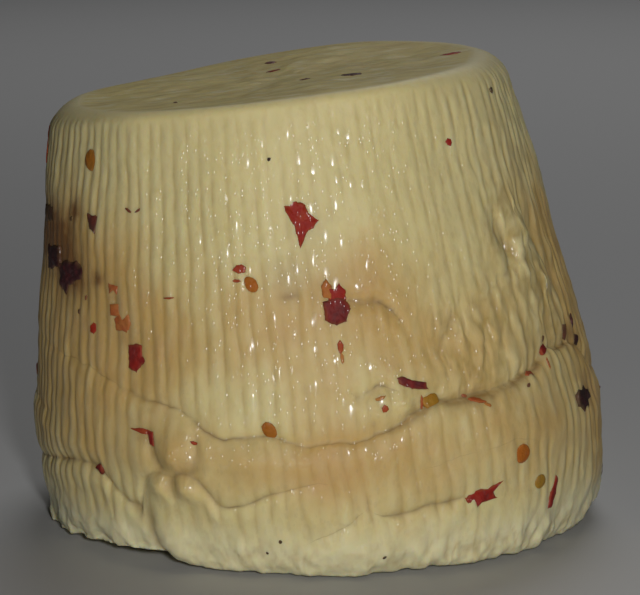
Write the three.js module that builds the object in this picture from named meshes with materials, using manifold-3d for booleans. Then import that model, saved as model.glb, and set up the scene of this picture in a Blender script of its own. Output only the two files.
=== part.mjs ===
// A ricotta salata with chilli: a basket-moulded drum of fresh pressed cheese that has slumped and leans.
// Millimetres, +Z up. The front faces -Y, the cheese leans towards -X and stands on z = 0.
// Places on the wall are given as an angle from the front towards +X, in degrees, and a height up the wall.
import * as THREE from 'three';
import Module from 'manifold-3d';

// The drum, leaning by so much for each millimetre of height, with a top that slopes up towards +X
const HEIGHT = 95.8;
const TOP_RADIUS = 48.5;
const BELLY_RADIUS = 62.1;
const BELLY_HEIGHT = 25.4;
const FLAT_RADIUS = 48;
const AXIS_X = 2.1;
const AXIS_Y = -0.3;
const LEAN = -0.118;
const TOP_SLOPE = Math.tan(THREE.MathUtils.degToRad(6.84));

// Slow unevenness of the wall: waves round it, their turn for each millimetre of height, phase and size
const LUMP_WAVES = [[3, 0.024, 2.89, 0.38], [5, 0.188, 5.35, 0.27], [11, -0.048, 0.92, 0.19]];

// The rounded shoulder is crisp at the front and wider at the sides
const SHOULDER = 1.6;
const SHOULDER_EXTRA = 4.2;
const SHOULDER_POWER = 4;

// The rim's hump and dip: angle, spread and height
const RIM_SWELLS = [[158, 26, 1.0], [-140, 22, -0.9]];
const RIM_REACH = 4;

// The top is slightly dished and wavy: waves round it, phase and size
const TOP_DISH = 0.6;
const TOP_WAVES = [[2, 0.6, 0.5], [5, 0, 0.3]];
const TOP_EDGE_POWER = 8;

// The edge of the foot, clear of the table, a fuller lobe on the left curling up: angle, radius and lift
const FOOT_MARKS = [
  [-180, 55, 0.9], [-150, 54.5, 0.7], [-120, 57, 1.2], [-100, 60, 0.7], [-78, 61.8, 0.6], [-64, 61.8, 1.2],
  [-39, 60, 3.8], [-33.4, 59, 4.2], [-32.2, 56.4, 1.8], [-29, 56.2, 1], [-24, 56, 0.6], [-12, 55.9, 0.6],
  [24, 54.9, 0.6], [28, 55.2, 0.8], [60, 55.6, 0.6], [95, 55.2, 1.2], [120, 56, 0.7], [150, 54.5, 1.4],
  [180, 55, 0.9],
];
const FOOT_WAVES = [[9, 1.3, 0.5], [17, 0.4, 0.3]];
const LIFT_REACH = 10;

// Ribs left by the slots of the basket, smeared flat where the cheese was handled
const RIB_COUNT = 115;
const RIB_DEPTH = 0.6;
const CREST_SHARE = 0.4;
const RIB_FOOT_FADE = 7;
const RIB_TOP_FADE = 5;
const SMEARS = [
  { angle: 16, height: 66, spreadAngle: 34, spreadHeight: 26, loss: 0.7 },
  { angle: -20, height: 27, spreadAngle: 17, spreadHeight: 12, loss: 0.8 },
  { angle: 10, height: 38, spreadAngle: 14, spreadHeight: 9, loss: 0.6 },
  { angle: 170, height: 60, spreadAngle: 30, spreadHeight: 22, loss: 0.6 },
];

// Two seams where the layers of curd slid over each other: angle, height and depth
const UPPER_SEAM = [
  [-180, 38, 0.7], [-150, 35, 0.8], [-118, 40, 0.4], [-88, 45, 0.1], [-61, 44, 0.2], [-41, 40, 0.5],
  [-26, 36, 0.7], [-17, 30, 0.7], [-8, 31, 0.5], [0, 28.5, 0.3], [11, 29.2, 0.6], [21, 33.8, 1.0],
  [35, 34.8, 1.1], [49, 36.4, 1.1], [57, 39.6, 0.9], [70, 38, 0.8], [80, 31, 0.7], [92, 29.5, 0.7],
  [106, 34, 0.6], [130, 42, 0.3], [158, 40, 0.5], [180, 38, 0.7],
];
const LOWER_SEAM = [
  [-180, 18, 0.5], [-140, 14, 0.3], [-105, 13, 0.6], [-75, 14, 0.9], [-57, 20, 0.9], [-49, 22, 0.9],
  [-43, 18, 0.8], [-37, 13, 0.6], [-31, 22, 0.7], [-23, 23, 0.7], [-15, 16.5, 0.6], [-9, 20.5, 0.6],
  [0, 22, 0.5], [8, 15, 0.4], [26, 15, 0.4], [50, 14, 0.1], [90, 16, 0.2], [125, 20, 0.5], [155, 15, 0.3],
  [180, 18, 0.5],
];
const SEAM_WIDTH = 0.9;
const SEAM_LIP = 1.3;

// The layer under the upper seam stands out as a ledge, and the one above is drawn in by a share of it
const LEDGE_MARKS = [
  [-180, 0.2], [-100, 0], [-20, 0.1], [12, 0.4], [22, 0.9], [46, 1], [60, 0.7], [85, 0.1], [180, 0.2],
];
const LEDGE_REACH = 9;
const DRAWN_IN = 0.6;

// How the skin is divided: rows as shares of the foot, of the wall above the seams and of the shoulder, and
// rings. The flat underside has few corners, so that the cheese stands steadily
const FOOT_ROWS = [0, 0.16, 0.5];
const WALL_ROWS = [0.25, 0.5, 0.75, 1];
const SHOULDER_ROWS = [0.3, 0.02];
const UNDER_RINGS = [[1, 0], [10, 1]];
const TOP_RINGS = [[RIB_COUNT, 0.9], [46, 0.6], [23, 0.3], [1, 0]];

// How far a flake stands out of the cheese and reaches into it, and the share left at its outer face
const PROUD = 0.5;
const SUNK = 1.3;
const OUTER_SHARE = 0.86;
const FLAKE_SIDES = 6;
const FLAKE_RAGGEDNESS = 0.3;
const SEED_SIDES = 8;
const SEED_RAGGEDNESS = 0.05;
const SEED_DIAMETER = 3.7;
const SEAT_REACH = 2;
const TOP_SEAT_DROP = 0.3;

// Chilli flakes on the side that shows: angle, height, length, width and turn of the length from upright.
// Those that overlap make up one larger ragged flake
const FRONT_FLAKES = [
  [2.5, 73.2, 7.6, 5, -20], [5.2, 71.2, 3.6, 3.6, 0], [2.6, 69, 5, 2.6, 15], [6.5, 58.6, 4, 2.2, 5],
  [8.7, 58.2, 4.2, 3.2, -5], [8.1, 54.4, 5.2, 5.6, 0], [-67, 63.8, 5.6, 5.5, 10], [-74.5, 63.6, 5, 4.4, 0],
  [-60.5, 61.2, 5, 4.4, 0], [-54.5, 62.4, 4.6, 5.2, 0], [-72, 73.2, 3.5, 5, 0], [-48.5, 73.2, 4.2, 3.4, -20],
  [-41.5, 60.2, 2, 2.8, 0], [-41, 55.2, 2.4, 2.4, 0], [-39, 52.4, 3.6, 4.2, 20], [-36, 45.8, 5.8, 3.6, 0],
  [-34.3, 30.4, 4.9, 1.5, -76], [-31.8, 29.6, 2.8, 1.4, -5], [-46.5, 20.4, 3.4, 2.2, 70],
  [-11, 64, 2.2, 3, 0], [7.5, 47.6, 2.8, 1.5, 0], [19, 40, 3.8, 1.6, -62], [22, 38.4, 4.4, 1.9, -78],
  [33.5, 34.3, 4.6, 1.4, -62], [32, 15.4, 5.6, 3.1, 78], [35.3, 16.7, 3.9, 1.4, 62], [51, 12.6, 7, 2.2, 19],
  [67.5, 28.2, 4.6, 5, 0], [67, 41, 4.2, 1.8, 0], [72, 38.6, 2.4, 2.6, 0], [56, 40, 3.2, 2.8, 0],
  [49, 36.4, 2.4, 3.6, 20],
];
const FRONT_SEEDS = [[-50.5, 86], [-8, 32], [-9.5, 60.8], [23.5, 36], [42, 22.4], [46.5, 15.6]];

// Flakes on the top: distance from the axis as a share of the top's radius, angle, length, width and turn
const TOP_FLAKES = [
  [0.78, 94, 5.7, 3.8, 60], [0.49, 42, 4.6, 3.6, 70], [0.3, -175, 4.5, 1.6, 80], [0.58, -176, 3.4, 2.2, 70],
];

// The rest are spread over the sides and back by a seeded draw, every so many of them a seed
const DRAW_SEED = 11;
const BACK_START = 80;
const BACK_SPAN = 202;
const BACK_PIECES = 22;
const BACK_JITTER = 0.4;
const SEED_EVERY = 4;
const BACK_HEIGHTS = [10, 88];
const BACK_LENGTHS = [4, 9];
const BACK_SLIMNESS = [0.4, 0.75];
const GOLDEN_SHARE = (Math.sqrt(5) - 1) / 2;

const radians = THREE.MathUtils.degToRad;

// Numbers in [0, 1) from a small seeded generator
function seededDraw(seed) {
  const modulus = 2 ** 32;
  let state = seed;
  return () => {
    state = (Math.imul(state, 1664525) + 1013904223) >>> 0;
    return state / modulus;
  };
}

// An angle brought into the range from -180 up to 180 degrees
function wrapped(angle) {
  return THREE.MathUtils.euclideanModulo(angle + 180, 360) - 180;
}

// A smooth swelling on the circle, one at its centre
function swelling(angle, centre, spread) {
  return Math.exp(-((wrapped(angle - centre) / spread) ** 2));
}

// The sum of waves round the axis, each with a number of waves, a phase and a size
function wavesRound(waves, angle) {
  const a = radians(angle);
  return waves.reduce((sum, [count, phase, size]) => sum + size * Math.sin(count * a + phase), 0);
}

// The value of one column of a list of marks, taken linearly between them round the circle
function along(marks, angle, column = 1) {
  const turned = wrapped(angle);
  const next = marks.findIndex((mark) => mark[0] > turned);
  const [before, after] = [marks[next - 1], marks[next]];
  return THREE.MathUtils.mapLinear(turned, before[0], after[0], before[column], after[column]);
}

function shoulderSize(angle) {
  return SHOULDER + SHOULDER_EXTRA * Math.sin(radians(angle)) ** SHOULDER_POWER;
}

// The plain profile: a quarter ellipse at the foot, a straight taper and a rounded shoulder
function profileRadius(angle, height) {
  if (height < BELLY_HEIGHT) {
    const foot = along(FOOT_MARKS, angle);
    return foot + (BELLY_RADIUS - foot) * Math.sqrt(1 - (1 - height / BELLY_HEIGHT) ** 2);
  }
  const shoulder = shoulderSize(angle);
  const over = THREE.MathUtils.clamp(height - (HEIGHT - shoulder), 0, shoulder);
  const rounding = shoulder - Math.sqrt(shoulder ** 2 - over ** 2);
  return THREE.MathUtils.mapLinear(height, BELLY_HEIGHT, HEIGHT, BELLY_RADIUS, TOP_RADIUS) - rounding;
}

function seamCut(seam, angle, height) {
  const gap = (height - along(seam, angle)) / SEAM_WIDTH;
  return along(seam, angle, 2) * Math.exp(-(gap ** 2));
}

function ledge(angle, height) {
  const gap = height - along(UPPER_SEAM, angle);
  const size = along(LEDGE_MARKS, angle) * Math.exp(-Math.abs(gap) / LEDGE_REACH);
  return gap < 0 ? size : -DRAWN_IN * size;
}

// The smooth wall without its ribs
function wallRadius(angle, height) {
  const turned = LUMP_WAVES.map(([count, turn, phase, size]) => [count, turn * height + phase, size]);
  const lumps = wavesRound(turned, angle);
  const seams = seamCut(UPPER_SEAM, angle, height) + seamCut(LOWER_SEAM, angle, height);
  const footEdge = wavesRound(FOOT_WAVES, angle) * Math.max(0, 1 - height / BELLY_HEIGHT) ** 2;
  return profileRadius(angle, height) + lumps + ledge(angle, height) - seams + footEdge;
}

// A point of the leaning drum with its sloping top, at a distance from the axis
function drumPoint(angle, height, radius) {
  const side = radius * Math.sin(radians(angle));
  const rise = height / HEIGHT;
  const swells = RIM_SWELLS.reduce(
    (sum, [centre, spread, size]) => sum + size * swelling(angle, centre, spread), 0,
  );
  const rim = (swells * rise ** RIM_REACH * radius) / TOP_RADIUS;
  const lift = along(FOOT_MARKS, angle, 2) * Math.max(0, 1 - height / LIFT_REACH) ** 2;
  const up = height + rise * TOP_SLOPE * side + rim + lift;
  return new THREE.Vector3(AXIS_X + LEAN * height + side, AXIS_Y - radius * Math.cos(radians(angle)), up);
}

function wallPoint(angle, height) {
  return drumPoint(angle, height, wallRadius(angle, height));
}

// How deep the ribs are at a place on the wall
function ribDepth(angle, height) {
  const kept = SMEARS.map(({ angle: centre, height: middle, spreadAngle, spreadHeight, loss }) => {
    const upDown = Math.exp(-(((height - middle) / spreadHeight) ** 2));
    return 1 - loss * swelling(angle, centre, spreadAngle) * upDown;
  });
  const ends = Math.min(1, height / RIB_FOOT_FADE) * Math.min(1, (HEIGHT - height) / RIB_TOP_FADE);
  return RIB_DEPTH * ends * kept.reduce((share, factor) => share * factor, 1);
}

// Heights of the rows at one angle, with three rows along each seam
function rowHeights(angle) {
  const [lower, upper] = [along(LOWER_SEAM, angle), along(UPPER_SEAM, angle)];
  const shoulder = shoulderSize(angle);
  const wallStart = upper + SEAM_LIP;
  const wallLength = HEIGHT - shoulder - wallStart;
  return [
    ...FOOT_ROWS.map((share) => share * lower),
    lower - SEAM_LIP, lower, lower + SEAM_LIP,
    (lower + upper) / 2,
    upper - SEAM_LIP, upper, wallStart,
    ...WALL_ROWS.map((share) => wallStart + share * wallLength),
    ...SHOULDER_ROWS.map((share) => HEIGHT - share * shoulder),
  ];
}

// Two columns for each rib, one on its crest and one in the groove beside it
function wallRows() {
  const columns = Array.from({ length: 2 * RIB_COUNT }, (_, column) => (column * 180) / RIB_COUNT - 180);
  const heights = columns.map(rowHeights);
  return heights[0].map((_, row) => columns.map((angle, column) => {
    const height = heights[column][row];
    const side = column % 2 === 0 ? CREST_SHARE : CREST_SHARE - 1;
    return drumPoint(angle, height, wallRadius(angle, height) + side * ribDepth(angle, height));
  }));
}

// A ring of points round the axis, from the point at each angle
function ringOf(count, pointAt) {
  return Array.from({ length: count }, (_, step) => pointAt((step * 360) / count - 180));
}

// A ring of the top at a share of its radius
function topRing([count, share]) {
  return ringOf(count, (angle) => {
    const edge = wallRadius(angle, HEIGHT - SHOULDER_ROWS.at(-1) * shoulderSize(angle));
    const dent = wavesRound(TOP_WAVES, angle) * share - TOP_DISH * (1 - share);
    const fall = new THREE.Vector3(0, 0, dent * (1 - share ** TOP_EDGE_POWER));
    return drumPoint(angle, HEIGHT, share * edge).add(fall);
  });
}

// A ring of the flat underside at a share of its radius
function underRing([count, share]) {
  const radius = share * FLAT_RADIUS;
  return ringOf(count, (angle) => {
    const a = radians(angle);
    return new THREE.Vector3(AXIS_X + radius * Math.sin(a), AXIS_Y - radius * Math.cos(a), 0);
  });
}

// A closed skin over rings that run from one middle point to the other
function skinOver(rings) {
  const points = rings.flat();
  const starts = rings.map((_, level) => rings.slice(0, level).reduce((sum, ring) => sum + ring.length, 0));
  const triangles = [];
  for (let level = 0; level + 1 < rings.length; level += 1) {
    const steps = Math.max(rings[level].length, rings[level + 1].length);
    const at = (which, step) => {
      const count = rings[which].length;
      return starts[which] + (Math.floor((step * count) / steps) % count);
    };
    for (let step = 0; step < steps; step += 1) {
      const [near, nearNext] = [at(level, step), at(level, step + 1)];
      const [far, farNext] = [at(level + 1, step), at(level + 1, step + 1)];
      if (near !== nearNext) triangles.push(near, nearNext, far);
      if (far !== farNext) triangles.push(nearNext, farNext, far);
    }
  }
  return { points, triangles };
}

// A thin prism with an irregular outline, set square to the surface where it sits
function chip({ centre, out, upright }, { length, width, turn, sides, raggedness }, draw) {
  const across = new THREE.Vector3().crossVectors(upright, out).normalize();
  const up = new THREE.Vector3().crossVectors(out, across).normalize();
  const lengthwise = up.clone().applyAxisAngle(out, -radians(turn));
  const crosswise = across.clone().negate().applyAxisAngle(out, -radians(turn));
  const corners = Array.from({ length: sides }, (_, corner) => {
    const a = ((corner + 0.5) * 2 * Math.PI) / sides;
    const reach = 0.5 * (1 - raggedness * draw());
    return [reach * length * Math.cos(a), reach * width * Math.sin(a)];
  });
  const middle = (depth) => centre.clone().addScaledVector(out, depth);
  const outline = (share, depth) => corners.map(([x, y]) => (
    middle(depth).addScaledVector(lengthwise, share * x).addScaledVector(crosswise, share * y)
  ));
  return skinOver([[middle(-SUNK)], outline(1, -SUNK), outline(OUTER_SHARE, PROUD), [middle(PROUD)]]);
}

// Where a chip sits on the wall, and which way is out and up there
function wallSeat(angle, height) {
  const centre = wallPoint(angle, height);
  const upright = wallPoint(angle, height + SEAT_REACH).sub(wallPoint(angle, height - SEAT_REACH));
  const sideways = wallPoint(angle + SEAT_REACH, height).sub(wallPoint(angle - SEAT_REACH, height));
  return { centre, out: new THREE.Vector3().crossVectors(sideways, upright).normalize(), upright };
}

function topSeat(share, angle) {
  const centre = drumPoint(angle, HEIGHT, share * TOP_RADIUS).add(new THREE.Vector3(0, 0, -TOP_SEAT_DROP));
  const out = new THREE.Vector3(-TOP_SLOPE, 0, 1).normalize();
  return { centre, out, upright: new THREE.Vector3(0, 1, 0) };
}

// Every flake and seed, the ones that show first
function chilliChips() {
  const draw = seededDraw(DRAW_SEED);
  const between = ([low, high], share = draw()) => low + (high - low) * share;
  const flake = (seat, length, width, turn) => (
    chip(seat, { length, width, turn, sides: FLAKE_SIDES, raggedness: FLAKE_RAGGEDNESS }, draw)
  );
  const seedSize = { length: SEED_DIAMETER, width: SEED_DIAMETER, turn: 0, sides: SEED_SIDES };
  const seed = (seat) => chip(seat, { ...seedSize, raggedness: SEED_RAGGEDNESS }, draw);
  const chips = FRONT_FLAKES.map(([angle, height, ...size]) => flake(wallSeat(angle, height), ...size));
  chips.push(...FRONT_SEEDS.map((place) => seed(wallSeat(...place))));
  chips.push(...TOP_FLAKES.map(([share, angle, ...size]) => flake(topSeat(share, angle), ...size)));
  for (let count = 0; count < BACK_PIECES; count += 1) {
    const angle = BACK_START + (BACK_SPAN * (count + 0.5 + BACK_JITTER * (draw() - 0.5))) / BACK_PIECES;
    const seat = wallSeat(angle, between(BACK_HEIGHTS, (count * GOLDEN_SHARE) % 1));
    const length = between(BACK_LENGTHS);
    const width = length * between(BACK_SLIMNESS);
    const turn = 180 * draw();
    chips.push(count % SEED_EVERY === SEED_EVERY - 1 ? seed(seat) : flake(seat, length, width, turn));
  }
  return chips;
}

const wasm = await Module();
wasm.setup();

function solid({ points, triangles }) {
  const vertProperties = new Float32Array(points.flatMap((point) => point.toArray()));
  const triVerts = new Uint32Array(triangles);
  return new wasm.Manifold(new wasm.Mesh({ numProp: 3, vertProperties, triVerts }));
}

function geometryOf(manifold) {
  const { vertProperties, triVerts } = manifold.getMesh();
  const geometry = new THREE.BufferGeometry();
  geometry.setAttribute('position', new THREE.BufferAttribute(Float32Array.from(vertProperties), 3));
  geometry.setIndex([...triVerts]);
  geometry.computeVertexNormals();
  return geometry;
}

// The drum with its chips fused on. A pocket closed in under a chip is filled: only the outer skin is kept
const drum = solid(skinOver([...UNDER_RINGS.map(underRing), ...wallRows(), ...TOP_RINGS.map(topRing)]));
const fused = chilliChips().reduce((whole, chip_) => whole.add(solid(chip_)), drum);
const cheese = fused.decompose().reduce((most, piece) => (piece.volume() > most.volume() ? piece : most));

const ricottaSalata = new THREE.Mesh(
  geometryOf(cheese),
  new THREE.MeshStandardMaterial({ color: '#cfc392', roughness: 0.42, metalness: 0 }),
);
ricottaSalata.name = 'ricotta_salata';

const part = new THREE.Group();
part.add(ricottaSalata);
export default part;
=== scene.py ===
import math
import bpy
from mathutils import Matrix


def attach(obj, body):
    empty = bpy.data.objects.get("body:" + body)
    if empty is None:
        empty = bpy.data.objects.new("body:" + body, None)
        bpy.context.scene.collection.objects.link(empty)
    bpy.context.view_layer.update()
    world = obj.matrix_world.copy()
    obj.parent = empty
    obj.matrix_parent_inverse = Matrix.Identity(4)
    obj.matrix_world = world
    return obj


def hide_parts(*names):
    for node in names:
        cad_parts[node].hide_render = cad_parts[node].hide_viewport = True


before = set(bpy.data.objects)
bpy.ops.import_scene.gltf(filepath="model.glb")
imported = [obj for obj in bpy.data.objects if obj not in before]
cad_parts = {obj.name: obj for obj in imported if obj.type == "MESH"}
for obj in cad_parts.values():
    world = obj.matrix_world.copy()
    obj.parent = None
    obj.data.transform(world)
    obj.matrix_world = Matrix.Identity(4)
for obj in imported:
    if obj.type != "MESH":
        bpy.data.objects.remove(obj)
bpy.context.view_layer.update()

from types import SimpleNamespace

import bpy
import numpy as np
from mathutils import Vector
from mathutils.bvhtree import BVHTree

# A ricotta salata: a leaning, slumped drum of moist cheese with basket ribs, and chilli in its skin.
# Sizes are millimetres and degrees. A place on the wall is an angle from the front towards +X and a height.
# A noise is the size of its lumps, a shift that sets it apart, its detail, and how much taller and wider
# than deep its lumps are.
MM = 0.001

# The drum, as in the CAD part
HEIGHT = 95.8
TOP_RADIUS = 48.5
BELLY_RADIUS = 62.1
BELLY_HEIGHT = 25.4
FLAT_RADIUS = 48.0
AXIS_X = 2.1
AXIS_Y = -0.3
LEAN = -0.118
TOP_SLOPE = math.tan(math.radians(6.84))
SHOULDER = 1.6
SHOULDER_EXTRA = 4.2
SHOULDER_POWER = 4.0
TOP_DISH = 0.6
TOP_EDGE_POWER = 8

# Slow waves over the wall: how many, turn with the height, phase and size
LUMP_WAVES = ((3, 0.024, 2.89, 0.38), (5, 0.188, 5.35, 0.27), (11, -0.048, 0.92, 0.19))

# Swells of the rim: angle, spread and size, and the power of the height by which they fade below it
RIM_SWELLS = ((158, 26, 1.0), (-140, 22, -0.9))
RIM_REACH = 4

# Waves round the top and the foot: how many, phase and size
TOP_WAVES = ((2, 0.6, 0.5), (5, 0, 0.3))
FOOT_WAVES = ((9, 1.3, 0.5), (17, 0.4, 0.3))

# The edge of the foot: angle, radius and lift off the table
FOOT_MARKS = (
    (-180, 55, 0.9), (-150, 54.5, 0.7), (-120, 57, 1.2), (-100, 60, 0.7), (-78, 61.8, 0.6),
    (-64, 61.8, 1.2), (-39, 60, 3.8), (-33.4, 59, 4.2), (-32.2, 56.4, 1.8), (-29, 56.2, 1),
    (-24, 56, 0.6), (-12, 55.9, 0.6), (24, 54.9, 0.6), (28, 55.2, 0.8), (60, 55.6, 0.6), (95, 55.2, 1.2),
    (120, 56, 0.7), (150, 54.5, 1.4), (180, 55, 0.9),
)

# The lift fades out over this height, and scallops under the edge are this high
LIFT_REACH = 10.0
LIFT_POWER = 2.0
SCALLOP_NOISE = (6.0, 5.9, 3.0)
SCALLOP_HEIGHT = 1.2

# Seams where layers of curd slid over each other: angle, height and depth. The first two are the long ones.
SEAMS = (
    (
        (-180, 38, 0.7), (-150, 35, 0.8), (-118, 40, 0.4), (-88, 45, 0.1), (-61, 44, 0.35),
        (-49, 42.4, 0.5), (-41, 40, 0.7), (-34, 37.2, 0.8), (-26, 36, 0.8), (-21.5, 32.8, 0.9),
        (-17, 30, 1.0), (-8, 30.6, 0.9), (0, 28.5, 0.7), (11, 29.2, 0.8), (16, 31, 1.0), (21, 33.8, 1.1),
        (24, 34.8, 1.2), (35, 34.8, 1.2), (43, 35.6, 1.2), (49, 36.4, 1.1), (57, 39.6, 0.9),
        (70, 38, 0.8), (80, 31, 0.7), (92, 29.5, 0.7), (106, 34, 0.6), (130, 42, 0.3), (158, 40, 0.5),
        (180, 38, 0.7),
    ),
    (
        (-180, 18, 0.5), (-140, 14, 0.3), (-105, 13, 0.6), (-75, 16.4, 1.0), (-57, 20.8, 1.2),
        (-50, 21.2, 1.1), (-46, 20.4, 1.0), (-44, 18, 0.9), (-41.5, 16, 1.0), (-38.5, 14.4, 1.0),
        (-36.5, 13.6, 1.0), (-35.8, 12.8, 0), (-35, 21, 0), (-34.5, 21.2, 0.5), (-32, 22.4, 1.0),
        (-30, 22.4, 1.1), (-28.5, 21.6, 1.1), (-27, 22.4, 1.1), (-25, 23.2, 1.1), (-23, 22.6, 1.1),
        (-21.8, 20.6, 1.1), (-20.6, 18.4, 1.0), (-19.4, 16.6, 1.0), (-17.6, 15.7, 0.9), (-13, 17.2, 0.9),
        (-9, 19.6, 0.8), (-3.5, 20.8, 0.7), (1, 21.2, 0.3), (4, 21, 0), (9, 15, 0), (10.5, 14.4, 0.4),
        (13.5, 14, 0.9), (16.5, 14, 1.0), (19.5, 14.8, 1.1), (22.5, 14.8, 1.1), (26, 15.6, 1.0),
        (29, 15.8, 0.3), (34, 15, 0.1), (50, 14, 0.1), (90, 16, 0.2), (125, 20, 0.5), (155, 15, 0.3),
        (180, 18, 0.5),
    ),
    (
        (-180, 60, 0), (9, 56.6, 0), (10.5, 56, 1.2), (14, 55.2, 1.3), (16.5, 55.2, 1.4), (18.5, 54, 1.3),
        (20, 52.8, 1.2), (21, 51.6, 0.9), (22.5, 49.6, 0), (60, 62, 0), (70, 60, 0.3), (84, 57, 0),
        (180, 60, 0),
    ),
    (
        (-180, 8, 0), (-100, 30, 0), (-88, 31, 0.5), (-70, 29, 0.4), (-58, 31, 0), (-4, 8.5, 0),
        (-1.5, 9.6, 0.5), (3, 11.6, 0.6), (7, 14.4, 0.6), (9, 15.2, 0), (16, 22, 0), (26, 24, 0.4),
        (40, 25.5, 0.4), (52, 23, 0), (180, 8, 0),
    ),
    (
        (-180, 40, 0), (8.5, 39, 0), (9.5, 38.4, 0.9), (10.5, 37.6, 1.0), (12, 38.8, 0.9), (14, 40, 1.0),
        (15.5, 39.2, 0.9), (17, 38.4, 0.8), (18.2, 38, 0), (180, 40, 0),
    ),
)
LONG_SEAMS = 2
SEAM_WIDTH = 1.5
LIP_SHARE = 0.4
UPPER_LIP_SHARE = 0.25
LIP_GAP = 3.0
LIP_WIDTH = 2.4

# Jags along the seams, the place where they run evenly (angle, height and spreads), and their change of depth
JAG_NOISE = (5.0, 3.1)
SEAM_JAG = 0.8
UPRIGHT_JAG = 0.7
EVEN_SEAMS = (-30, 20, 16, 10)
DEPTH_NOISE = (8.0, 9.9)
DEPTH_CHANGE = 0.4
DEPTH_LEVEL = 0.9
DEPTH_LIMITS = (0.2, 1.2)

# A crack's line is as wide as the square of its depth and this much more
LEAST_LINE = 0.01

# Creases that run up the wall: height, angle and depth
UPRIGHTS = (
    (
        (0, -32.8, 2.0), (3.6, -33.4, 2.0), (6.4, -34, 1.9), (9.6, -35, 1.7), (12.4, -35.2, 1.4),
        (15.5, -35.4, 0.8), (18.5, -35.2, 0.7), (21, -34.6, 0.5), (22, -34, 0), (22.8, -30.5, 0),
        (23.4, -30.6, 1.0), (25.6, -32, 1.1), (28.4, -32, 1.1), (30, -32, 0.9), (32, -32.4, 0),
        (HEIGHT, -33, 0),
    ),
    (
        (0, -28.6, 0), (16, -28.6, 0), (18, -28.6, 1.1), (21, -28.6, 1.1), (21.8, -28.4, 0),
        (22.6, -23.2, 0), (23.4, -23.2, 0.9), (25.2, -22.5, 1.1), (27.6, -22, 1.1), (30, -21.7, 0.9),
        (32, -21.5, 0), (HEIGHT, -22, 0),
    ),
    (
        (0, 39, 0), (51.4, 39, 0), (52.4, 40.5, 0.5), (54.4, 45, 0.7), (56.8, 49.5, 0.9), (59.6, 52, 1.3),
        (62.8, 51.5, 1.3), (66, 50.5, 1.0), (69, 49, 0), (HEIGHT, 49, 0),
    ),
    (
        (0, 17, 0), (30.6, 17, 0), (31.2, 17.5, 0.5), (32, 19, 0.6), (33.2, 20.5, 0.6), (34.8, 20.6, 0.7),
        (36.2, 20.4, 0.6), (37, 20.4, 0), (42.4, 27.5, 0), (43.6, 28, 0.8), (46.4, 29.5, 0.9),
        (48.8, 31.5, 1.0), (51.2, 32.5, 0.8), (53, 33, 0), (HEIGHT, 33, 0),
    ),
)

# The layer under the upper seam stands out as a ledge and the one above it is drawn in
LEDGE_MARKS = (
    (-180, 0.2), (-100, 0), (-20, 0.1), (12, 0.4), (22, 0.9), (46, 1.0), (60, 0.7), (85, 0.1), (180, 0.2),
)
LEDGE_REACH = 9.0
LEDGE_EDGE = 0.3
DRAWN_IN = 0.6

# Single lumps of curd: angle, height, spread in angle, spread in height and size
LUMPS = (
    (-26.5, 27, 3.6, 3.8, 1.9), (-34.5, 25.5, 2.2, 2.4, 0.7), (-31.4, 19.4, 2.2, 2.8, 1.6),
    (-25, 19.6, 2.5, 2.8, 1.7), (-30.5, 6, 3.2, 6, 1.6), (-38.5, 5, 3, 5, -1.2),
    (-20, 26.5, 1.6, 3.6, 0.7), (6, 6, 13, 3.0, 0.5), (-50, 9, 9, 4.0, 0.5), (40, 28, 16, 3.6, 0.5),
    (-12, 25.5, 5, 2.6, 0.5), (18.6, 35.4, 1.7, 2.4, 1.2), (-3, 35, 5, 3.0, 0.4),
    (33, 46.5, 1.6, 3.2, 0.7), (37, 46, 1.5, 3.2, 0.7), (41.5, 44.5, 1.5, 3.4, 0.7),
    (35.5, 40.5, 1.6, 3, 0.5), (31, 41, 1.5, 3, 0.4), (40, 39.5, 1.6, 2.6, 0.4), (46, 40.5, 2.8, 4, 0.8),
    (49.5, 46, 1.3, 5, 0.5), (53, 50, 1.2, 6, 0.4), (56, 47, 1.2, 6, 0.4), (49.8, 65, 1.6, 3, -0.8),
    (52, 60.5, 1.8, 3, -1.0), (64, 61.5, 2.6, 4, -1.1), (68, 52, 2.4, 4, -0.8), (57, 63, 2.4, 5, 0.9),
    (55, 56, 2, 4, 0.6), (61, 54, 2, 4, 0.6), (47, 60, 1.6, 4, 0.5),
)

# Ribs left by the slots of the basket
RIB_COUNT = 115
RIB_DEPTH = 0.4
RIB_FOOT_FADE = (7.0, 16.0)
RIB_TOP_FADE = (0.5, 4.5)
RIB_POWER = 0.95
RIB_LEVEL = 0.6
COLUMNS_A_RIB = 7

# Noises that move the ribs sideways, all over and under the upper seam, and how far in shares of the radius
WANDERS = ((1.0, 15.0, 7.7, 2.0, 1.5), (0.4, 4.5, 1.9, 2.0, 3.0))
WANDER = 0.016
SLIP_NOISE = (22.0, 5.3)
SLIP = 0.022

# Where the ribs were smeared flat: angle, height, spread in angle, spread in height and loss
SMEARS = (
    (16, 66, 32, 26, 0.8), (-20, 27, 15, 11, 0.9), (10, 38, 14, 9, 0.5), (170, 60, 30, 22, 0.6),
    (0, 90, 40, 9, 0.7), (-64, 68, 12, 14, 0.5), (38, 45, 9, 7, 0.6), (35, 22, 22, 10, 0.45),
    (-30, 19.5, 8, 6, 0.9), (5, 22, 18, 7, 0.6),
)

# Where the ribs were pushed out of line: angle, height, spread in angle and spread in height
DISTURBED = ((40, 44, 11, 8), (62, 50, 9, 14), (58, 61, 11, 10))
DISTURBANCE = 2.2
BEND_NOISE = (5.0, 6.6, 2.0, 1.6)
MORE_BREAKS = 0.5

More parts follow.
